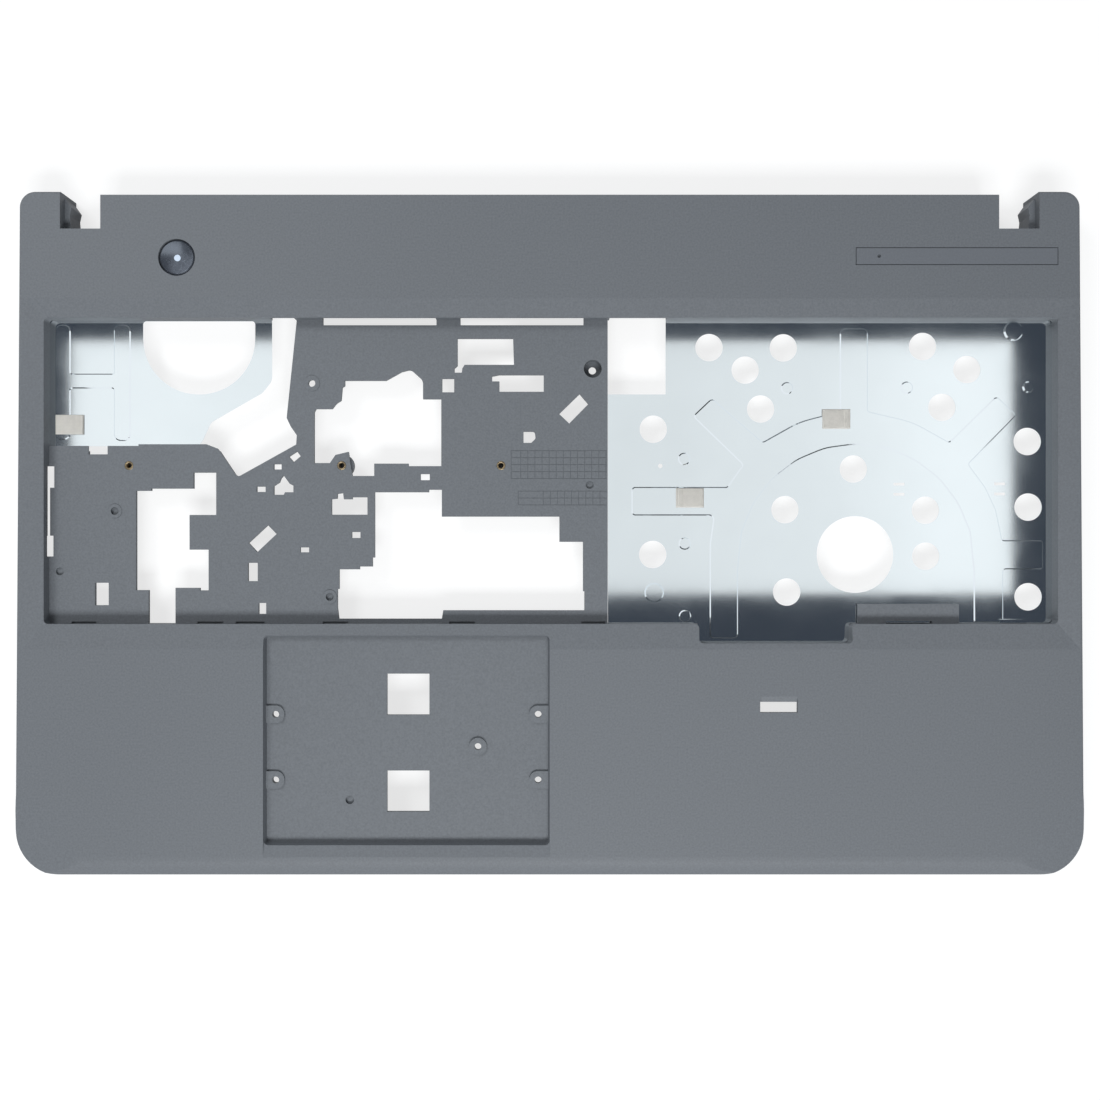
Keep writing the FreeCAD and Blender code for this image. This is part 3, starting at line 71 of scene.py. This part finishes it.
BLACK: Colour = (0.0, 0.0, 0.0)


def linear(red: Number, green: Number, blue: Number) -> Colour:
    """Turn an sRGB colour into the linear one that shaders use.

    Args:
        red: Red, from 0 to 255.
        green: Green, from 0 to 255.
        blue: Blue, from 0 to 255.

    Returns:
        The linear colour.
    """
    out = []
    for value in (red, green, blue):
        share = value / 255
        out.append(share / 12.92 if share <= 0.04045 else ((share + 0.055) / 1.055) ** 2.4)
    return out[0], out[1], out[2]


# Shader maths


class Graph:
    """The node tree of one material, and the one place where its nodes are made."""

    def __init__(self, tree: bpy.types.NodeTree) -> None:
        """Take over a tree and empty it.

        Args:
            tree: The material's or world's node tree.
        """
        self.tree = tree
        tree.nodes.clear()

    def node(
        self, kind: str, inputs: dict[str | int, object] | None = None, **settings: object
    ) -> bpy.types.Node:
        """Make a node, set its options and fill its inputs.

        Args:
            kind: Blender's name of the node type.
            inputs: Value or Term for each input, by name or number.
            **settings: Attributes of the node.

        Returns:
            The new node.
        """
        made = self.tree.nodes.new(kind)
        for name, value in settings.items():
            setattr(made, name, value)
        for key, value in (inputs or {}).items():
            self.feed(made.inputs[key], value)
        return made

    def feed(self, socket: bpy.types.NodeSocket, value: object) -> None:
        """Link a Term to an input, or set the input's plain value.

        Args:
            socket: The input.
            value: A Term, number, colour or vector.
        """
        if isinstance(value, Term):
            self.tree.links.new(value.socket, socket)
        elif isinstance(value, (tuple, list)) and len(value) == 3 and socket.type == "RGBA":
            socket.default_value = (*value, 1.0)
        else:
            socket.default_value = value

    def term(self, made: bpy.types.Node, output: str | int = 0) -> "Term":
        """Wrap one output of a node.

        Args:
            made: The node.
            output: Name or number of the output.

        Returns:
            The wrapped output.
        """
        return Term(self, made.outputs[output])

    def place(self) -> "Place":
        """Make the Object coordinates in millimetres.

        Returns:
            The three coordinates.
        """
        source = self.term(self.node("ShaderNodeTexCoord"), "Object")
        parts = self.node("ShaderNodeSeparateXYZ", {0: source})
        return Place(source, *(self.term(parts, axis) / MM for axis in "XYZ"))

    def seen(self) -> "Term":
        """Tell rays that show a backdrop from those that only light the object.

        Returns:
            One for camera, glossy and transmission rays.
        """
        path = self.node("ShaderNodeLightPath")
        names = ("Is Camera Ray", "Is Glossy Ray", "Is Transmission Ray")
        camera, glossy, through = (self.term(path, name) for name in names)
        return camera.either(glossy).either(through)

    def noise(self, vector: "Term", scale: float, detail: float = 2.0) -> "Term":
        """Make a noise around zero.

        Args:
            vector: Where it is read.
            scale: Blender's noise scale, per metre.
            detail: How many octaves.

        Returns:
            Values from about -0.5 to 0.5.
        """
        made = self.node("ShaderNodeTexNoise", {"Vector": vector, "Scale": scale, "Detail": detail})
        return self.term(made, "Factor" if "Factor" in made.outputs else 0) - 0.5


class Term:
    """One socket's value, with arithmetic that makes Math nodes."""

    def __init__(self, graph: Graph, socket: bpy.types.NodeSocket) -> None:
        """Wrap a socket.

        Args:
            graph: The graph it belongs to.
            socket: The output socket.
        """
        self.graph = graph
        self.socket = socket

    def _maths(self, operation: str, *others: object) -> "Term":
        """Make one Math node that starts with this value.

        Args:
            operation: Blender's name of the operation.
            *others: The further values.

        Returns:
            The result.
        """
        made = self.graph.node("ShaderNodeMath", dict(enumerate((self, *others))), operation=operation)
        return self.graph.term(made)

    def __add__(self, other: object) -> "Term":
        return self._maths("ADD", other)

    __radd__ = __add__

    def __sub__(self, other: object) -> "Term":
        return self._maths("SUBTRACT", other)

    def __rsub__(self, other: Number) -> "Term":
        return (self * -1.0) + other

    def __mul__(self, other: object) -> "Term":
        return self._maths("MULTIPLY", other)

    __rmul__ = __mul__

    def __truediv__(self, other: object) -> "Term":
        return self._maths("DIVIDE", other)

    def __abs__(self) -> "Term":
        return self._maths("ABSOLUTE")

    def wrap(self, period: float) -> "Term":
        """Repeat the value from zero to a period.

        Args:
            period: Where it starts again.

        Returns:
            The repeating value.
        """
        return self._maths("WRAP", period, 0.0)

    def below(self, limit: object) -> "Term":
        """One where the value is below a limit, else zero.

        Args:
            limit: The limit.

        Returns:
            Zero or one.
        """
        return self._maths("LESS_THAN", limit)

    def either(self, other: object) -> "Term":
        """Take the larger of two values.

        Args:
            other: The other value.

        Returns:
            The larger one.
        """
        return self._maths("MAXIMUM", other)

    def stripes(self, start: float, pitch: float, width: float) -> "Term":
        """One on lines that repeat, else zero.

        Args:
            start: Middle of one line.
            pitch: From line to line.
            width: Width of a line.

        Returns:
            Zero or one.
        """
        return abs((self - (start - pitch / 2)).wrap(pitch) - pitch / 2).below(width / 2)

    def within(self, low: float, high: float) -> "Term":
        """One between two limits, else zero.

        Args:
            low: Lower limit.
            high: Upper limit.

        Returns:
            Zero or one.
        """
        return abs(self - (low + high) / 2).below((high - low) / 2)

    def ramp(self, start: float, end: float, low: float = 0.0, high: float = 1.0) -> "Term":
        """Map the value smoothly from one range to another and clamp it.

        Args:
            start: Value that gives low.
            end: Value that gives high.
            low: Result at start.
            high: Result at end.

        Returns:
            The mapped value.
        """
        names = {"Value": self, "From Min": start, "From Max": end, "To Min": low, "To Max": high}
        made = self.graph.node("ShaderNodeMapRange", names, interpolation_type="SMOOTHSTEP")
        return self.graph.term(made)

    def blend(self, first: object, second: object) -> "Term":
        """Mix two colours by this value.

        Args:
            first: Colour at zero.
            second: Colour at one.

        Returns:
            The mixed colour.
        """
        made = self.graph.node("ShaderNodeMix", data_type="RGBA")
        colours = [s for s in made.inputs if s.type == "RGBA"]
        self.graph.feed(made.inputs[0], self)
        self.graph.feed(colours[0], first)
        self.graph.feed(colours[1], second)
        return self.graph.term(made, [i for i, s in enumerate(made.outputs) if s.type == "RGBA"][0])


@dataclass(frozen=True)
class Place:
    """Object coordinates: the vector in metres and its parts in millimetres."""

    vector: Term
    x: Term
    y: Term
    z: Term


# Finishes


class Grain(Enum):
    """How a surface is textured close up."""

    MOULDED = "fine spark-eroded speckle"
    SHEET = "rolled sheet"
    WOVEN = "woven cloth"
    TURNED = "turned on a lathe"
    SMOOTH = "polished"


@dataclass(frozen=True)
class Finish:
    """One real finish of the product."""

    name: str
    colour: Colour
    roughness: float
    grain: Grain
    metallic: float = 0.0
    coat: float = 0.0
    speckle: float = 0.0
    relief: float = 0.0
    marked: bool = False


COVER = Finish(
    "cover_plastic", linear(102, 106, 111), 0.6, Grain.MOULDED, speckle=0.22, relief=0.04, marked=True)
STRIP = Finish("strip_plastic", linear(103, 107, 113), 0.5, Grain.MOULDED, speckle=0.12, relief=0.02)
STEEL = Finish("plate_steel", linear(240, 245, 247), 0.07, Grain.SHEET, metallic=1.0, relief=0.0006)
CLOTH = Finish("gasket_fabric", linear(236, 232, 224), 0.75, Grain.WOVEN, relief=0.25)
BRASS = Finish("insert_brass", linear(150, 134, 108), 0.4, Grain.TURNED, metallic=1.0)
BUTTON = Finish("button_finish", linear(120, 126, 136), 0.26, Grain.TURNED, metallic=0.85, coat=0.3)
GUIDE = Finish("light_guide", linear(205, 219, 236), 0.2, Grain.SMOOTH, coat=0.4)
CARRIER = Finish("carrier_plastic", linear(46, 47, 50), 0.5, Grain.MOULDED, speckle=0.05)


@dataclass(frozen=True)
class DateGrid:
    """A table of lines moulded into the web, in millimetres of the row's frame."""

    left: float
    right: float
    rear: float
    row: float
    rows: int
    first_column: float
    column: float = 2.53
    line: float = 0.2

    @property
    def front(self) -> float:
        """Place of the front line."""
        return self.rear - self.row * self.rows

    def drawn(self, place: Place) -> Term:
        """Draw the lines.

        Args:
            place: Where the surface is.

        Returns:
            One on a line, else zero.
        """
        half = self.line / 2
        inside_x = place.x.within(self.left - half, self.right + half)
        inside_y = place.y.within(self.front - half, self.rear + half)
        across = place.y.stripes(self.rear, self.row, self.line)
        along = place.x.stripes(self.first_column, self.column, self.line) * place.x.within(
            self.first_column - half, self.right + half)
        side = place.x.within(self.left - half, self.left + half)
        return across.either(along).either(side) * inside_x * inside_y


DATE_GRIDS = (
    DateGrid(left=-13.7, right=20.2, rear=29.8, row=2.48, rows=4, first_column=-10.3),
    DateGrid(left=-11.2, right=20.2, rear=15.4, row=2.46, rows=2, first_column=-2.3),
)
WEB_LEVEL = 8.5
WEB_REACH = 0.3
# Share by which the colour darkens on the table lines: painted shade in their grooves.
GROOVE_PAINTED_SHADE = 0.3
LINE_HEIGHT = 2.0
YARN_PITCH = 0.34


class FinishShop:
    """Builds each finish as a procedural material, once."""

    def __init__(self) -> None:
        """Start with no materials."""
        self.made: dict[str, bpy.types.Material] = {}

    def get(self, finish: Finish) -> bpy.types.Material:
        """Return the material of a finish.

        Args:
            finish: The finish.

        Returns:
            Its material, made the first time it is asked for.
        """
        if finish.name not in self.made:
            self.made[finish.name] = self._build(finish)
        return self.made[finish.name]

    def _build(self, finish: Finish) -> bpy.types.Material:
        """Make the material of a finish.

        Args:
            finish: The finish.

        Returns:
            The new material.
        """
        material = bpy.data.materials.new(finish.name)
        material.use_nodes = True
        graph = Graph(material.node_tree)
        place = graph.place()
        grain: dict[Grain, Callable[[Graph, Place, Finish], tuple[object, Term | None, object]]] = {
            Grain.MOULDED: self._moulded, Grain.SHEET: self._sheet, Grain.WOVEN: self._woven,
            Grain.TURNED: self._turned, Grain.SMOOTH: self._smooth,
        }
        colour, height, roughness = grain[finish.grain](graph, place, finish)
        inputs = {"Base Color": colour, "Roughness": roughness, "Metallic": finish.metallic,
                  "Coat Weight": finish.coat}
        surface = graph.node("ShaderNodeBsdfPrincipled", inputs)
        if height is not None:
            relief = {"Height": height, "Strength": 1.0, "Distance": MM * finish.relief}
            bump = graph.node("ShaderNodeBump", relief)
            graph.feed(surface.inputs["Normal"], graph.term(bump, "Normal"))
        graph.node("ShaderNodeOutputMaterial", {"Surface": graph.term(surface)})
        return material

    @staticmethod
    def _moulded(graph: Graph, place: Place, finish: Finish) -> tuple[object, Term, object]:
        """Moulded plastic with a fine speckle and, on the cover, the lines of the tables, sunk as grooves
        with painted shade in them.

        Args:
            graph: The material's graph.
            place: Where the surface is.
            finish: The finish.

        Returns:
            Colour, height of the relief or None, and roughness.
        """
        fine = graph.noise(place.vector, 1500.0, 3.0)
        broad = graph.noise(place.vector, 9.0, 1.0)
        shade = fine * finish.speckle * 2.0 + broad * finish.speckle * 0.3
        pale = tuple(min(1.0, c * 1.6) for c in finish.colour)
        dark = tuple(c * 0.4 for c in finish.colour)
        colour = (shade + 0.5).blend(dark, pale)
        if not finish.marked:
            return colour, fine, finish.roughness
        lines = DATE_GRIDS[0].drawn(place).either(DATE_GRIDS[1].drawn(place))
        lines = lines * place.z.within(WEB_LEVEL - WEB_REACH, WEB_LEVEL + WEB_REACH)
        # Painted shade: the grooves of the table lines are darkened toward black in the colour, on top of
        # their sunk relief.
        painted_groove_shade_colour = (lines * GROOVE_PAINTED_SHADE).blend(colour, BLACK)
        return painted_groove_shade_colour, fine - lines * LINE_HEIGHT, finish.roughness

    @staticmethod
    def _sheet(graph: Graph, place: Place, finish: Finish) -> tuple[object, Term, object]:
        """Rolled bright sheet.

        Args:
            graph: The material's graph.
            place: Where the surface is.
            finish: The finish.

        Returns:
            Colour, height of the relief or None, and roughness.
        """
        broad = graph.noise(place.vector, 60.0, 2.0)
        fine = graph.noise(place.vector, 2500.0, 1.0)
        roughness = broad * 0.06 + finish.roughness
        dull = tuple(c * 0.93 for c in finish.colour)
        return (broad + 0.5).blend(dull, finish.colour), fine, roughness

    @staticmethod
    def _woven(graph: Graph, place: Place, finish: Finish) -> tuple[object, Term, object]:
        """Plain weave of a metallised cloth, with painted shade between the yarns and a random stain.

        Args:
            graph: The material's graph.
            place: Where the surface is.
            finish: The finish.

        Returns:
            Colour, height of the relief or None, and roughness.
        """
        warp = abs(place.x.wrap(YARN_PITCH) / YARN_PITCH - 0.5)
        weft = abs(place.y.wrap(YARN_PITCH) / YARN_PITCH - 0.5)
        weave = warp + weft
        stain = graph.noise(place.vector, 500.0, 3.0)
        # Painted shade: the colour darkens from the middle of each yarn toward the low edges between yarns,
        # where the relief sinks; the noise adds a random stain.
        dark = tuple(c * 0.78 for c in finish.colour)
        colour = (weave * 0.9 + stain * 0.8).ramp(0.0, 0.9).blend(finish.colour, dark)
        return colour, weave * -1.0, finish.roughness

    @staticmethod
    def _turned(graph: Graph, place: Place, finish: Finish) -> tuple[object, None, object]:
        """Turned metal.

        Args:
            graph: The material's graph.
            place: Where the surface is.
            finish: The finish.

        Returns:
            Colour, height of the relief or None, and roughness.
        """
        fine = graph.noise(place.vector, 900.0, 2.0)
        return finish.colour, None, fine * 0.08 + finish.roughness

    @staticmethod
    def _smooth(graph: Graph, place: Place, finish: Finish) -> tuple[object, None, object]:
        """Clear polished plastic.

        Args:
            graph: The material's graph.
            place: Where the surface is.
            finish: The finish.

        Returns:
            Colour, height of the relief or None, and roughness.
        """
        cloud = graph.noise(place.vector, 700.0, 1.0)
        pale = tuple(min(1.0, c * 1.15) for c in finish.colour)
        return (cloud + 0.5).blend(finish.colour, pale), None, finish.roughness


# Surfaces


def grid_mesh(
    name: str, points: np.ndarray, closed_u: bool = False, closed_v: bool = False
) -> bpy.types.Object:
    """Make a mesh from a grid of points.

    Args:
        name: Name of the object and its mesh.
        points: Points in metres, rows by columns by 3.
        closed_u: Whether the last column joins the first.
        closed_v: Whether the last row joins the first.

    Returns:
        The new object, smooth shaded, at the origin.
    """
    rows, columns = points.shape[:2]
    row = np.arange(rows if closed_v else rows - 1)
    column = np.arange(columns if closed_u else columns - 1)
    i, j = np.meshgrid(row, column, indexing="ij")
    this, after = i * columns, (i + 1) % rows * columns
    beside = (j + 1) % columns
    quads = np.stack([this + j, this + beside, after + beside, after + j], -1)
    mesh = bpy.data.meshes.new(name)
    mesh.from_pydata(points.reshape(-1, 3).tolist(), [], quads.reshape(-1, 4).tolist())
    mesh.shade_smooth()
    mesh.validate()
    made = bpy.data.objects.new(name, mesh)
    bpy.context.scene.collection.objects.link(made)
    return made


def smooth_step(value: np.ndarray) -> np.ndarray:
    """Ease from 0 to 1.

    Args:
        value: Shares of the way.

    Returns:
        The eased shares.
    """
    t = np.clip(value, 0, 1)
    return t * t * (3 - 2 * t)


# Sub-assemblies


class Piece:
    """A group of shown objects that ride on one body."""

    body = "cover"

    def __init__(self, shop: FinishShop, nodes: dict[str, bpy.types.Object]) -> None:
        """Keep what every piece needs.

        Args:
            shop: Where finishes come from.
            nodes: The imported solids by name.
        """
        self.shop = shop
        self.nodes = nodes

    def dress(self, node: str, finish: Finish) -> None:
        """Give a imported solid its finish.

        Args:
            node: Name of the solid.
            finish: Its finish.
        """
        shown = self.nodes[node]
        shown.data.materials.clear()
        shown.data.materials.append(self.shop.get(finish))

    def add(self, made: bpy.types.Object, finish: Finish, *stands_for: str) -> bpy.types.Object:
        """Add a new surface to the body.

        Args:
            made: The new object, in place.
            finish: Its finish.
            *stands_for: Solids that it is shown instead of.

        Returns:
            The same object.
        """
        made.data.materials.append(self.shop.get(finish))
        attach(made, self.body)
        if stands_for:
            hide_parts(*stands_for)
        return made

    def build(self) -> None:
        """Build the looks of the piece."""
        raise NotImplementedError


class Cover(Piece):
    """The moulded cover."""

    def build(self) -> None:
        """Dress the moulding."""
        self.dress("palm_rest_cover", COVER)
        self.dress("indicator_strip", STRIP)


class Plates(Piece):
    """The two pressed plates."""

    def build(self) -> None:
        """Dress both plates."""
        self.dress("drive_bay_plate", STEEL)
        self.dress("fan_bay_plate", STEEL)


@dataclass(frozen=True)
class GasketSize:
    """Sizes of a cloth-wrapped gasket, in millimetres."""

    columns: int = 90
    rows: int = 60
    headroom: float = 0.2
    crown: float = 0.16
    crown_reach: float = 3.0
    edge: float = 0.35
    fold_inset: float = 0.7
    fold_width: float = 1.5
    fold_rise: float = 0.15
    fold_fall: float = 0.12
    fold_end: float = 0.2
    fold_height: float = 0.22
    waves: int = 6
    wave_rate: tuple[float, float] = (0.8, 2.0)
    wave_phase: float = 6.28
    wrinkle: float = 0.015


class Gaskets(Piece):
    """Foam gaskets wrapped in conductive cloth."""

    size = GasketSize()
    folds = {"fan_bay_gasket": -1, "drive_bay_gasket_rear": 1, "drive_bay_gasket_left": -1}

    def build(self) -> None:
        """Wrap each gasket."""
        for seed, (node, side) in enumerate(self.folds.items()):
            cloth = self.add(self._wrapped(node, side, seed), CLOTH, node)

    def _wrapped(self, node: str, side: int, seed: int) -> bpy.types.Object:
        """Lay the cloth over one gasket.

        Args:
            node: The gasket's solid.
            side: Where the cloth's fold lies, -1 at the left and 1 at the right.
            seed: Seed of the wrinkles.

        Returns:
            The cloth.
        """
        s = self.size
        low, high = (np.array(corner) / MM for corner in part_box(node))
        height = high[2] - low[2] - s.headroom
        x, y = np.meshgrid(np.linspace(low[0], high[0], s.columns), np.linspace(low[1], high[1], s.rows))
        edge = np.minimum.reduce([x - low[0], high[0] - x, y - low[1], high[1] - y])
        z = low[2] + height * smooth_step(edge / s.edge) ** 0.5
        z += s.crown * smooth_step(edge / s.crown_reach) - s.crown
        fold_at = (x - low[0] if side < 0 else high[0] - x) - s.fold_inset
        fold = smooth_step(fold_at / s.fold_rise) * smooth_step((s.fold_width - fold_at) / s.fold_fall)
        z += s.fold_height * fold * smooth_step(edge / s.fold_end)
        rng = np.random.default_rng(seed)
        for _ in range(s.waves):
            angle, phase = rng.uniform(0, math.pi), rng.uniform(0, s.wave_phase)
            rate = rng.uniform(*s.wave_rate)
            wave = np.sin((x * math.cos(angle) + y * math.sin(angle)) * rate + phase)
            z += s.wrinkle * wave * smooth_step(edge)
        top = np.stack([x, y, np.maximum(z, low[2])], -1) * MM
        return grid_mesh(node.replace("gasket", "gasket_cloth"), top)


@dataclass(frozen=True)
class ThreadSize:
    """Sizes of the thread in a brass insert, in millimetres."""

    pitch: float = 0.4
    core: float = 0.8
    sleeve: float = 1.6
    chamfer: float = 0.22
    depth: float = 0.16
    rim: float = 0.1
    turn_steps: int = 40
    steps_per_pitch: int = 8


class Inserts(Piece):
    """Brass inserts with their threads."""

    size = ThreadSize()

    def build(self) -> None:
        """Thread every insert."""
        for node in sorted(self.nodes):
            if "_insert_" in node:
                self.add(self._threaded(node), BRASS, node)

    def _threaded(self, node: str) -> bpy.types.Object:
        """Turn one insert with its thread.

        Args:
            node: The insert's solid.

        Returns:
            The threaded insert.
        """
        s = self.size
        low, high = (np.array(corner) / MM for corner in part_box(node))
        centre = (low + high) / 2
        turn = np.linspace(0, 2 * math.pi, s.turn_steps, endpoint=False)
        steps = int((high[2] - low[2]) / s.pitch * s.steps_per_pitch)
        mouth = s.core + s.chamfer
        rings = [(s.sleeve, low[2]), (mouth, low[2])]
        for z in np.linspace(low[2] + s.chamfer, high[2] - s.chamfer, steps):
            phase = (z / s.pitch + turn / (2 * math.pi)) % 1.0
            rings.append((s.core + s.depth * np.abs(phase - 0.5) * 2, z))
        rings += [(mouth, high[2]), (s.sleeve - s.rim, high[2]), (s.sleeve, high[2] - s.rim)]
        points = [np.stack(np.broadcast_arrays(centre[0] + radius * np.cos(turn),
                                               centre[1] + radius * np.sin(turn), z), -1)
                  for radius, z in rings]
        return grid_mesh(node + "_thread", np.array(points) * MM, closed_u=True, closed_v=True)


class PowerButton(Piece):
    """The dished cap and its light."""

    body = "button"

    def build(self) -> None:
        """Dress the cap and the light guide."""
        self.dress("power_button", BUTTON)
        self.dress("power_button_light_guide", GUIDE)


class Carrier(Piece):
    """The frame under the power button."""

    def build(self) -> None:
        """Dress the frame."""
        self.dress("power_button_carrier", CARRIER)


# Studio


PHOTO_PIXELS = 1100
PIXEL = 0.3515


@dataclass(frozen=True)
class Lamp:
    """A square or oblong lamp."""

    name: str
    place: tuple[float, float, float]
    size: tuple[float, float]
    watts: float
    colour: Colour = (1.0, 1.0, 1.0)


@dataclass(frozen=True)
class StudioPlan:
    """The photograph's set-up, in metres."""

    deck: float = 0.014
    camera: tuple[float, float] = (0.0001, -0.0056)
    height: float = 0.400
    width: float = PHOTO_PIXELS * PIXEL * MM
    lamps: Sequence[Lamp] = field(default_factory=lambda: (
        Lamp("key", (0.05, -0.85, 1.0), (0.9, 0.4), 14.0, (0.97, 0.99, 1.0)),
        Lamp("side", (-0.62, 0.62, 0.85), (0.4, 0.4), 5.0, (0.97, 0.99, 1.0)),
    ))
    softbox: tuple[float, float, float, float] = (-0.006, 0.054, 0.680, 0.183)
    softbox_above: float = 0.01
    softbox_light: Sequence[tuple[float, float]] = (
        (-316.0, 1.02), (60.0, 0.86), (180.0, 0.92), (295.0, 1.06))
    ceiling_above: float = 0.03
    ceiling_width: float = 1.6
    floor_width: float = 8.0
    floor_under: float = 0.0005
    sensor: float = 36.0


SKY_LIGHT = 0.3
SKY = (0.93, 0.96, 1.0)
SOFTBOX = (0.94, 0.98, 1.0)
FLOOR = (0.3, 0.3, 0.3)
FLOOR_WHITENESS = 0.74
CEILING = (0.045, 0.055, 0.072)


class Studio:
    """Floor, backdrop, lamps and camera."""

    def __init__(self, plan: StudioPlan) -> None:
        """Keep the plan.

        Args:
            plan: Sizes and places.
        """
        self.plan = plan

    def build(self) -> None:
        """Set everything up."""
        self._world()
        self._floor()
        self._reflected()
        for lamp in self.plan.lamps:
            self._lamp(lamp)
        self._camera()
        scene = bpy.context.scene
        scene.view_settings.view_transform = "Standard"
        scene.view_settings.look = "None"

    def _world(self) -> None:
        """Sky that is white where it is seen and dimmer where it only lights."""
        world = bpy.data.worlds.new("studio")
        world.use_nodes = True
        graph = Graph(world.node_tree)
        seen = graph.seen()
        sky = graph.node("ShaderNodeBackground", {
            "Color": SKY, "Strength": seen * (1.0 - SKY_LIGHT) + SKY_LIGHT})
        graph.node("ShaderNodeOutputWorld", {"Surface": graph.term(sky)})
        bpy.context.scene.world = world

    @staticmethod
    def _panel(name: str, centre: Sequence[float], size: Sequence[float]) -> tuple[bpy.types.Object, Graph]:
        """Make a horizontal panel with an empty material.

        Args:
            name: Name of the panel.
            centre: Its middle.
            size: Width and depth.

        Returns:
            The panel and its material's graph.
        """
        half = np.array(size) / 2
        corners = np.array([[[-half[0], -half[1], 0], [half[0], -half[1], 0]],
                            [[-half[0], half[1], 0], [half[0], half[1], 0]]]) + np.array(centre)
        panel = grid_mesh(name, corners)
        material = bpy.data.materials.new(name)
        material.use_nodes = True
        panel.data.materials.append(material)
        return panel, Graph(material.node_tree)

    def _floor(self) -> None:
        """White floor that still takes the object's shadow."""
        width = self.plan.floor_width
        _, graph = self._panel("floor", (0, 0, -self.plan.floor_under), (width, width))
        surface = graph.node("ShaderNodeBsdfPrincipled", {
            "Base Color": FLOOR, "Roughness": 0.9, "Specular IOR Level": 0.0,
            "Emission Color": (1.0, 1.0, 1.0), "Emission Strength": graph.seen() * FLOOR_WHITENESS})
        graph.node("ShaderNodeOutputMaterial", {"Surface": graph.term(surface)})

    def _reflected(self) -> None:
        """Dark ceiling with a bright softbox, which only mirror-like surfaces show."""
        top = self.plan.deck + self.plan.height + self.plan.softbox_above
        x, y, width, depth = self.plan.softbox
        reach = self.plan.ceiling_width
        ceiling, graph = self._panel("ceiling", (0, 0, top + self.plan.ceiling_above), (reach, reach))
        glow = graph.node("ShaderNodeEmission", {"Color": CEILING, "Strength": 1.0})
        graph.node("ShaderNodeOutputMaterial", {"Surface": graph.term(glow)})
        softbox, graph = self._panel("softbox", (x, y, top), (width, depth))
        along = graph.place().x
        (start, strength), *stops = self.plan.softbox_light
        brightest = max(level for _, level in self.plan.softbox_light)
        light: Term | float = strength
        for end, level in stops:
            light = along.ramp(start, end, 0.0, level - strength) + light
            start, strength = end, level
        colour = (light / brightest).blend(BLACK, SOFTBOX)
        glow = graph.node("ShaderNodeEmission", {"Color": colour, "Strength": brightest})
        graph.node("ShaderNodeOutputMaterial", {"Surface": graph.term(glow)})
        for panel in (ceiling, softbox):
            panel.visible_camera = False
            panel.visible_diffuse = False
            panel.visible_shadow = False
            panel.visible_transmission = False

    def _lamp(self, plan: Lamp) -> None:
        """Hang a lamp and point it at the object.

        Args:
            plan: The lamp.
        """
        data = bpy.data.lights.new(plan.name, "AREA")
        data.shape = "RECTANGLE"
        data.size, data.size_y = plan.size
        data.energy = plan.watts
        data.color = plan.colour
        lamp = bpy.data.objects.new(plan.name, data)
        lamp.location = plan.place
        lamp.rotation_euler = (-Vector(plan.place)).to_track_quat("-Z", "Y").to_euler()
        bpy.context.scene.collection.objects.link(lamp)

    def _camera(self) -> None:
        """Set the camera over the deck, looking straight down."""
        data = bpy.data.cameras.new("camera")
        data.sensor_width = self.plan.sensor
        data.lens = self.plan.sensor * self.plan.height / self.plan.width
        data.clip_start, data.clip_end = 0.01, 50.0
        camera = bpy.data.objects.new("camera", data)
        camera.location = (*self.plan.camera, self.plan.deck + self.plan.height)
        bpy.context.scene.collection.objects.link(camera)
        bpy.context.scene.camera = camera


def main() -> None:
    """Load the frame, build every piece and the studio."""
    logging.basicConfig(level=logging.INFO, format="%(name)s: %(message)s")
    for old in list(bpy.data.objects):
        bpy.data.objects.remove(old)
    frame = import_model()
    shop = FinishShop()
    for kind in (Cover, Plates, Gaskets, Inserts, PowerButton, Carrier):
        kind(shop, frame["nodes"]).build()
        LOG.info("built %s", kind.__name__)
    Studio(StudioPlan()).build()


if __name__ == "__main__":
    main()
